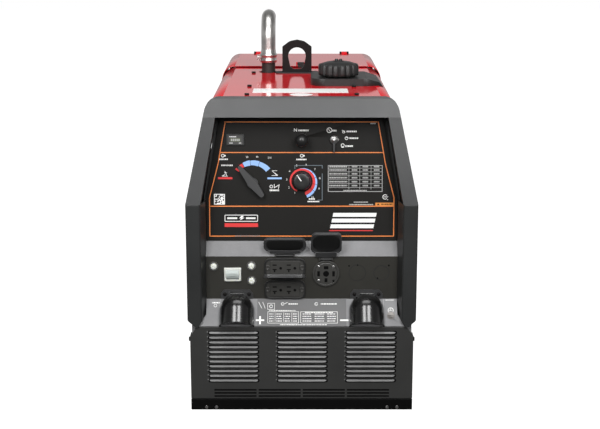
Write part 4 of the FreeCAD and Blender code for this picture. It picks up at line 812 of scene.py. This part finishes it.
def receptacle_face():
    """Thin charcoal overlay on the panel's upright face, cut round the outlets and breakers."""
    half, low, high = 244.0, 269.8, 375.4
    inner_wall = 229.6
    holes = [(DUPLEX_X - 37, z - 16.5, DUPLEX_X + 37, z + 16.5) for z in DUPLEX_ROWS]
    holes.append((-182, 317, -150, 345.6))
    xs = sorted({-half, half} | {edge for hole in holes for edge in (hole[0], hole[2])})
    zs = sorted({low, high} | {edge for hole in holes for edge in (hole[1], hole[3])})
    bm = bmesh.new()
    for x0, x1 in zip(xs, xs[1:]):
        for z0, z1 in zip(zs, zs[1:]):
            middle = ((x0 + x1) / 2, (z0 + z1) / 2)
            if any(h[0] < middle[0] < h[2] and h[1] < middle[1] < h[3] for h in holes):
                continue
            corners = [(max(-inner_wall, min(inner_wall, x)), z, 0.15) for x, z in rectangle(x0, z0, x1, z1)]
            bm.faces.new(row_of(bm, corners, PANEL))
    bmesh.ops.remove_doubles(bm, verts=bm.verts[:], dist=0.00001)
    piece_from(bm, "outlet_overlay", "face", "case", smooth=False)


# ---------------------------------------------------------------- lids

PAD_STEPS = 64
PAD_PROFILE = ((1.0, 3.6), (0.985, 2.9), (0.93, 2.0), (0.8, 1.4), (0.5, 1.05), (0.2, 0.95))


def lid(name, node, body, half, reach, neck, knuckle_half, hinge, opening, dome):
    """A moulded lid swung open about its hinge: rimmed shell, lip, neck, knuckle and domed pad."""
    start, end = reach
    swing = Matrix.Translation(hinge) @ Matrix.Rotation(-math.radians(opening), 4, "X")
    rows = Matrix(((1, 0, 0, 0), (0, 0, -1, 0), (0, 1, 0, 0), (0, 0, 0, 1)))
    place = swing @ rows
    bm = bmesh.new()
    outline = rounded_rectangle(-half, -end, half, -start, 13)
    inner = rounded_rectangle(-half + 4.5, -end + 4.5, half - 4.5, -start - 2.5, 10)
    prism(bm, outline, 3.4, 5.5, place)
    hoop(bm, outline, inner, 1.3, 4.0, place)
    lip = [point for point in outline if point[1] < -end + 7.2]
    prism(bm, lip, 4.6, 9.9, place)
    prism(bm, rectangle(-neck, -start - 2, neck, -4.6), 1.4, 5.2, place)
    piece_from(bm, name + "_shell", "lid", body, bevel=0.9, replaces=[node])
    bm = bmesh.new()
    (cx, cy), (rx, ry), power = dome
    rings = []
    for share, height in PAD_PROFILE:
        ring = []
        for step in range(PAD_STEPS):
            angle = 2 * math.pi * step / PAD_STEPS
            c, s = math.cos(angle), math.sin(angle)
            x = cx + rx * share * math.copysign(abs(c) ** power, c)
            y = cy + ry * share * math.copysign(abs(s) ** power, s)
            ring.append((x, y, height))
        rings.append(row_of(bm, ring, place))
    for first, second in zip(rings, rings[1:]):
        bridge(bm, first, second)
    bm.faces.new(rings[0])
    bm.faces.new(rings[-1])
    piece_from(bm, name + "_pad", "pad", body, angle=50)
    bm = bmesh.new()
    turned(bm, [(2.9, -knuckle_half), (2.9, knuckle_half)], swing @ Matrix.Rotation(math.pi / 2, 4, "Y"), 20)
    prism(bm, rectangle(-knuckle_half, -5.5, knuckle_half, -2), 1.2, 4.3, place)
    piece_from(bm, name + "_knuckle", "black_plastic", body, bevel=0.4)


def lids():
    """The three open lids."""
    hinge_y = PANEL_Y - 5.5 * MM
    wide = ((0, -29.5), (44, 16.5), 0.62)
    for name, node, height, opening in (("upper_lid", "duplex_lid_upper", 0.3790, 158),
                                        ("lower_lid", "duplex_lid_lower", 0.3202, 109)):
        lid(name, node, name, 50.5, (10.8, 47.5), 36, 20.7, Vector((DUPLEX_X * MM, hinge_y, height)),
            opening, wide)
    lid("big_lid", "round_lid", "big_lid", 36.5, (18, 78), 25, 13.7,
        Vector((ROUND_OUTLET[0] * MM, hinge_y, 0.3698)), 153, ((0, -48.5), (33, 27.5), 0.85))


# ---------------------------------------------------------------- terminals

def hood_details():
    """Rims of the terminal hoods, and the screws of their hinge plates."""
    for side, name in SIDES:
        bm = bmesh.new()
        x = side * HOOD_X
        inner, outer = 38.6, 42.6
        rings = []
        for row, out in ((-67.4, outer), (-69.3, outer), (-69.3, inner), (-67.4, inner)):
            angles = [math.pi * step / 32 for step in range(33)]
            arch = [(x + out * math.cos(angle), row, 0.6 + out * math.sin(angle)) for angle in angles]
            rings.append(row_of(bm, arch, LEDGE))
        for first, second in zip(rings, rings[1:] + rings[:1]):
            bridge(bm, first, second, closed=False)
        piece_from(bm, "hood_rim_" + name, "hood", name + "_hood", bevel=0.6)
        bm = bmesh.new()
        for dx in (-29, 29):
            spot = at(PANEL, x + dx, 282)
            turned(bm, [(4.6, 2.4), (4.6, 4.2), (3.6, 5.6), (1.5, 6.2), (0.3, 6.2)], spot, 24)
        piece_from(bm, "hinge_screws_" + name, "black_steel", "case")


def ledge_graphics():
    """Grey decal on the terminal ledge, darkened in part as painted shade from the panel above, with polarity
    signs, tables and small symbols.
    """
    printed("ledge_decal_and_shade", "decal", [rectangle(-107, -67.5, 107, -0.5)], LEDGE, "silver_panel", thickness=0.2)
    white = [rectangle(-110, -55.4, -90, -51.4), rectangle(-102, -63.4, -98, -43.4),
             rectangle(92, -55.4, 112, -51.6)]
    for x0, x1 in ((-82, -7), (-3, 86)):
        white += border(x0, -61, x1, -32, 0.9)
    for x in (-64, -44, -24):
        white.append(rectangle(x - 0.4, -57, x + 0.4, -35))
    columns = ((-78, -68, 2.0, 99), (-61, -48, 2.0, 105), (-41, -28, 2.0, 112), (-21, -11, 2.0, 120),
               (2, 24, 1.8, 130), (31, 54, 1.8, 140), (61, 82, 1.8, 150))
    for row in range(4):
        for x0, x1, height, seed in columns:
            white += dashes(x0, -38 - 5.8 * row, x1, height, seed + row)
    white += dashes(-78, -29.5, -15, 2.0, 160) + dashes(8, -34.5, 76, 2.2, 161)
    white += dashes(-52, -64.5, 60, 1.8, 162)
    white += [ring_mark(-46, -13, 2.6, 3.9, 0, 340, 16), line(-42, -13, -34, -9, 1.2)]
    white += dashes(-32, -13, -10, 3.0, 163) + dashes(46, -13, 84, 3.0, 164)
    white += [ring_mark(35, -13, 2.6, 3.9, 20, 340, 16)]
    white += [line(-104, -8, -96, -24, 1.0), line(-94, -8, -88, -24, 1.0)]
    white += border(-82.5, -27, -65, -11, 0.9) + [ring_mark(-74, -19, 3, 4.4, end=340)]
    white += [ring_mark(214, -29, 5.6, 7.0, 0, 359, 28), line(209.6, -29, 218.4, -29, 1.2),
              line(214, -29, 214, -24, 1.2), rectangle(202, -4, 222, -2.6)]
    white += dashes(-216, -10, -198, 3.0, 165) + [ring_mark(-208, -17, 3, 4, end=340)]
    printed("ledge_marks", "white_ink", white, LEDGE, "silver_panel", lift=0.15)
    seams = [rectangle(196.6, -68, 197.4, -1), rectangle(-197.4, -68, -196.6, -1)]
    printed("ledge_seams", "soft_ink", seams, LEDGE, "silver_panel")


def front_corners():
    """Silver gussets behind the cut corners of the louvred sheet, and the foot bolts of the base."""
    face_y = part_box("front_louver_panel")[0].y + 4.6 * MM
    place = local_frame((0, face_y, 0), 0)
    for side, name in SIDES:
        outline = [(236, 214), (262, 187), (264, 187), (264, 206), (244, 224), (236, 224)]
        bm = bmesh.new()
        prism(bm, [(side * x, z) for x, z in outline], -14, -11, place)
        piece_from(bm, "corner_gusset_" + name, "silver", "case", bevel=0.6)
    foot = local_frame((0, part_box("base_frame")[0].y, 0), 0)
    bm = bmesh.new()
    for x in (-231, -207, 207, 231):
        turned(bm, [(4.4, -1), (4.4, 1.2), (3.4, 2.4), (0.4, 2.6)], at(foot, x, 7), 20)
    piece_from(bm, "foot_bolts", "plated", "case", angle=40)


# ---------------------------------------------------------------- louvred panel

LOUVER_BANKS = (-165, 0, 165)
LOUVER_ROWS = 11
LOUVER_PITCH = 12.1
LOUVER_FOOT = 76
LOUVER_HALF = 60.5


def louver_face():
    """The front sheet with its pressed louvres and the slots near its foot; painted shade fills the openings
    and slots, and painted highlights brighten the blades and their ends.
    """
    low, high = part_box("front_louver_panel")
    face_y = low.y + 4.6 * MM
    place = local_frame((0, face_y, 0), 0)
    half = high.x / MM
    foot = low.z / MM
    outline = [(-half, foot), (half, foot), (half, 188), (251, 211), (-251, 211), (-half, 188)]
    bm = bmesh.new()
    prism(bm, outline, -2, 0, place)
    for side in (-1, 1):
        strip = rectangle(side * half, foot, side * (half - 2), 188)
        prism(bm, strip if side > 0 else list(reversed(strip)), -31, -1.5, place)
    prism(bm, rectangle(-251, 209, 251, 211), -22, -1.5, place)
    piece_from(bm, "louver_sheet", "charcoal", "case", bevel=0.8, angle=40,
               replaces=["front_louver_panel"])
    # dark gathers painted shade for the openings under the blades and the slots near the foot; bright gathers
    # painted highlights at the blades' left ends
    dark = []
    bright = []
    bm = bmesh.new()
    for bank in LOUVER_BANKS:
        for row in range(LOUVER_ROWS):
            z = LOUVER_FOOT + row * LOUVER_PITCH
            x0, x1 = bank - LOUVER_HALF, bank + LOUVER_HALF
            dark.append(rounded_rectangle(x0, z - 5.6, x1 + 2.5, z + 4.4, 4.6, 5))
            bright.append(circle(x0 - 0.5, z + 1.5, 1.5, 12))
            louver(bm, x0 + 3, x1 - 1, z, place)
    # the blades take the blade finish, a lighter grey that is painted highlight on their upper faces
    piece_from(bm, "louver_blades", "blade", "case", angle=40)
    for group in range(4):
        middle = (group - 1.5) * 107
        for row in range(3):
            z = 33 + 8 * row
            dark.append(rectangle(middle - 51, z, middle + 51, z + 4.2))
    printed("louver_opening_shades", "hole", dark, place, "charcoal_paint", lift=0.05, thickness=0.1)
    printed("louver_end_highlights", "blade", bright, place, "charcoal_paint", lift=0.1, thickness=0.3)


def recess_liner():
    """Dark sheet behind the nameplate that closes the corners of the recess."""
    bm = bmesh.new()
    outline = [(-236, -2), (236, -2), (236, 104), (205, 296), (-205, 296), (-236, 104)]
    prism(bm, outline, -9, -7, PLATE)
    piece_from(bm, "recess_liner", "liner", "case", bevel=0.5)


VENT_SPANS = ((118, 344), (716, 942))


def vent_shade_sheets():
    """Near-black sheets close behind the vents of the side panels, as painted shade of the space behind them.
    """
    for name in ("left", "right"):
        low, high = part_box("side_panel_" + name)
        side = 1 if low.x + high.x > 0 else -1
        x = side * (max(abs(low.x), abs(high.x)) - 6 * MM)
        place = Matrix(((0, 0, 1, x), (1, 0, 0, FRONT), (0, 1, 0, 0), (0, 0, 0, 1)))
        bm = bmesh.new()
        for start, end in VENT_SPANS:
            prism(bm, rectangle(start, 126, end, 398), -0.3, 0.3, place)
        # painted shade: a near-black sheet behind each side's vents
        piece_from(bm, "vent_shade_sheet_" + name, "liner", "case", smooth=False)


def louver(bm, x0, x1, z, place):
    """Add one pressed louvre: a sloping blade with a rolled lip, its ends drawn back to the sheet."""
    section = [(1.9, 0.0), (1.3, 0.9), (0.4, 2.2), (-0.7, 3.6), (-1.5, 4.3), (-2.0, 4.1), (-2.1, 3.4),
               (-1.5, 2.6), (0.0, 0.6), (0.9, -0.4)]
    columns = 24
    rings = []
    for column in range(columns + 1):
        share = 0.5 - 0.5 * math.cos(math.pi * column / columns)
        x = x0 + (x1 - x0) * share
        ramp = min(1.0, min(x - x0, x1 - x) / 6.0)
        size = math.sqrt(max(0.0, 1 - (1 - ramp) ** 2))
        swell = 0.25 + 0.75 * size
        ring = [(x, z + 0.4 + (rise - 0.4) * swell, out * size + 0.2) for rise, out in section]
        rings.append(row_of(bm, ring, place))
    for first, second in zip(rings, rings[1:]):
        bridge(bm, first, second)


# ---------------------------------------------------------------- roof furniture

def fuel_cap_crown():
    """Lobed fuel cap with a stepped top and twin vent bosses."""
    low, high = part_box("fuel_cap")
    centre = (low + high) / 2
    place = Matrix.Translation((centre.x, centre.y, low.z))
    bm = bmesh.new()

    def lobes(angle, radius, height):
        if radius < 40:
            return radius
        return radius - 4.2 * (0.5 + 0.5 * math.cos(16 * angle)) ** 3

    profile = [(38.5, 1.0), (49, 0.0), (51.6, 2.5), (52.0, 8), (51.6, 24), (50, 27.5), (46.5, 29.2),
               (39.8, 30.6), (38, 31.6), (30, 34.0), (18, 35.4), (14.5, 35.6), (13.5, 36.8), (0.5, 36.9)]
    turned(bm, profile, place, 160, lobes)
    piece_from(bm, "fuel_cap_body", "black_plastic", "cap", angle=50, replaces=["fuel_cap"])
    bm = bmesh.new()
    for dx in (-5.2, 5.2):
        turned(bm, [(4.4, 36.4), (4.4, 39.8), (3.6, 41.2), (0.3, 41.3)], at(place, dx, 0), 24)
    piece_from(bm, "fuel_cap_vents", "black_plastic", "cap")


def roof_labels():
    """Blank white strip and a blank oval label on the roof."""
    front = FRONT / MM
    strip = [(-119, front + 150), (113, front + 150), (113, front + 226), (-119, front + 226)]
    printed("roof_strip", "label", [strip], ROOF, "red_paint", thickness=0.3)
    marks = dashes(-112, front + 204, -80, 5, 200, gap=3) + dashes(66, front + 172, 104, 4, 201, gap=4)
    printed("roof_strip_marks", "soft_ink", marks, ROOF, "red_paint", lift=0.1, thickness=0.3)
    oval = [(-1 + 27 * math.cos(2 * math.pi * s / 40), front + 118 + 22 * math.sin(2 * math.pi * s / 40))
            for s in range(40)]
    printed("roof_oval", "label", [oval], ROOF, "red_paint", thickness=0.3)


def latch_catch():
    """Rubber catch on the fixed roof in front of the door latch."""
    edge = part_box("engine_door")[0].y / MM
    bm = bmesh.new()
    prism(bm, rounded_rectangle(-10, edge - 13, 6, edge - 2, 2.5), 0, 6, ROOF)
    piece_from(bm, "latch_catch", "rubber", "case", bevel=1.2)


def clamp_details():
    """Stamped rings of the exhaust clamp and the flared foot of the elbow."""
    low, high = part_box("exhaust_elbow")
    x = (low.x + high.x) / 2
    y = low.y + (high.x - low.x) / 2
    place = Matrix.Translation((x, y, 0))
    bm = bmesh.new()
    profile = [(19.6, 781.5), (21.2, 781.5), (22.6, 783), (22.6, 786), (23.4, 787), (23.4, 789.5),
               (22.6, 790.5), (22.6, 799.5), (23.6, 800.6), (23.6, 804), (22.4, 805.4), (21.0, 806.6),
               (20.6, 812), (19.7, 818)]
    turned(bm, profile, place, 64)
    piece_from(bm, "clamp_band", "polished", "case", angle=50)


# ---------------------------------------------------------------- room, light and camera

def stage():
    """A wide white floor that only the camera sees."""
    bm = bmesh.new()
    reach = 14
    steps = 10
    for row in range(steps):
        for column in range(steps):
            x0 = -reach + 2 * reach * column / steps
            y0 = -reach + 2 * reach * row / steps
            size = 2 * reach / steps
            verts = [bm.verts.new((x, y, 0)) for x, y in rectangle(x0, y0, x0 + size, y0 + size)]
            bm.faces.new(verts)
    bmesh.ops.remove_doubles(bm, verts=bm.verts[:], dist=0.0001)
    mesh = bpy.data.meshes.new("floor")
    bm.to_mesh(mesh)
    bm.free()
    floor = bpy.data.objects.new("floor", mesh)
    bpy.context.scene.collection.objects.link(floor)
    mesh.materials.append(MATERIALS["floor"])
    floor.visible_diffuse = False
    floor.visible_glossy = False


def studio_world():
    """White room: plain white to the eye, and for what it lights pale at eye level and dim overhead."""
    world = bpy.data.worlds.new("studio")
    bpy.context.scene.world = world
    world.use_nodes = True
    tree = world.node_tree
    tree.nodes.clear()
    output = tree.nodes.new("ShaderNodeOutputWorld")
    seen = tree.nodes.new("ShaderNodeBackground")
    seen.inputs["Color"].default_value = (1, 1, 1, 1)
    seen.inputs["Strength"].default_value = 1.0
    lit = tree.nodes.new("ShaderNodeBackground")
    coordinates = tree.nodes.new("ShaderNodeTexCoord")
    split = tree.nodes.new("ShaderNodeSeparateXYZ")
    tree.links.new(coordinates.outputs["Generated"], split.inputs["Vector"])
    ramp = tree.nodes.new("ShaderNodeValToRGB")
    levels = ((0.0, 0.10), (0.38, 0.16), (0.5, 0.42), (0.60, 0.50), (0.72, 0.22), (1.0, 0.10))
    set_stops(ramp.color_ramp, [(position, (level, level, level, 1)) for position, level in levels])
    height = map_range(tree, split.outputs["Z"], From_Min=-1.0, From_Max=1.0)
    tree.links.new(height, ramp.inputs["Fac"])
    tree.links.new(ramp.outputs["Color"], lit.inputs["Color"])
    facing = map_range(tree, split.outputs["Y"], From_Min=-1.0, From_Max=1.0, To_Min=0.5, To_Max=1.2)
    tree.links.new(facing, lit.inputs["Strength"])
    mix = tree.nodes.new("ShaderNodeMixShader")
    path = tree.nodes.new("ShaderNodeLightPath")
    tree.links.new(path.outputs["Is Camera Ray"], mix.inputs["Fac"])
    tree.links.new(lit.outputs["Background"], mix.inputs[1])
    tree.links.new(seen.outputs["Background"], mix.inputs[2])
    tree.links.new(mix.outputs["Shader"], output.inputs["Surface"])


def softbox(name, place, target, size, power):
    """A large soft lamp that faces a point."""
    lamp = bpy.data.lights.new(name, "AREA")
    lamp.shape = "RECTANGLE"
    lamp.size, lamp.size_y = size
    lamp.energy = power
    holder = bpy.data.objects.new(name, lamp)
    holder.location = place
    holder.rotation_mode = "QUATERNION"
    holder.rotation_quaternion = (Vector(target) - Vector(place)).to_track_quat("-Z", "Y")
    bpy.context.scene.collection.objects.link(holder)


def lights():
    """Two tall softboxes in front and a broad soft top light."""
    target = (0, -0.45, 0.45)
    softbox("front_left", (-1.05, -3.1, 2.35), target, (1.0, 2.2), 75)
    softbox("front_right", (0.95, -3.1, 2.35), target, (1.0, 2.2), 75)
    softbox("overhead", (0, -0.6, 3.4), (0, -0.1, 0.6), (2.4, 1.6), 40)


CAMERA_BACK = 2.7226
CAMERA_HEIGHT = 1.146
CAMERA_ASIDE = -0.0042
CAMERA_TILT = 0.2167
FOCAL_LENGTH = 71.8
FRAME_SHIFT = -0.04


def camera():
    """Camera in front of the machine and a little above it, looking slightly down."""
    lens = bpy.data.cameras.new("camera")
    lens.sensor_width = 36
    lens.lens = FOCAL_LENGTH
    lens.shift_y = FRAME_SHIFT
    lens.clip_end = 60
    holder = bpy.data.objects.new("camera", lens)
    holder.location = (CAMERA_ASIDE, FRONT - CAMERA_BACK, CAMERA_HEIGHT)
    holder.rotation_euler = (math.pi / 2 - CAMERA_TILT, 0, 0)
    bpy.context.scene.collection.objects.link(holder)
    bpy.context.scene.camera = holder
    bpy.context.scene.view_settings.view_transform = "Standard"


camera()
studio_world()
lights()
stage()
dress_frame()
plate_lines()
dial_graphics()
plate_symbols()
plate_square()
plate_badges()
hour_window()
choke_cap()
dial_cap()
switch_bat()
breaker_boots()
main_breaker_boot()
outlet_faces()
round_outlet()
receptacle_face()
blank_covers()
lids()
hood_details()
ledge_graphics()
louver_face()
front_corners()
recess_liner()
vent_shade_sheets()
fuel_cap_crown()
roof_labels()
latch_catch()
clamp_details()
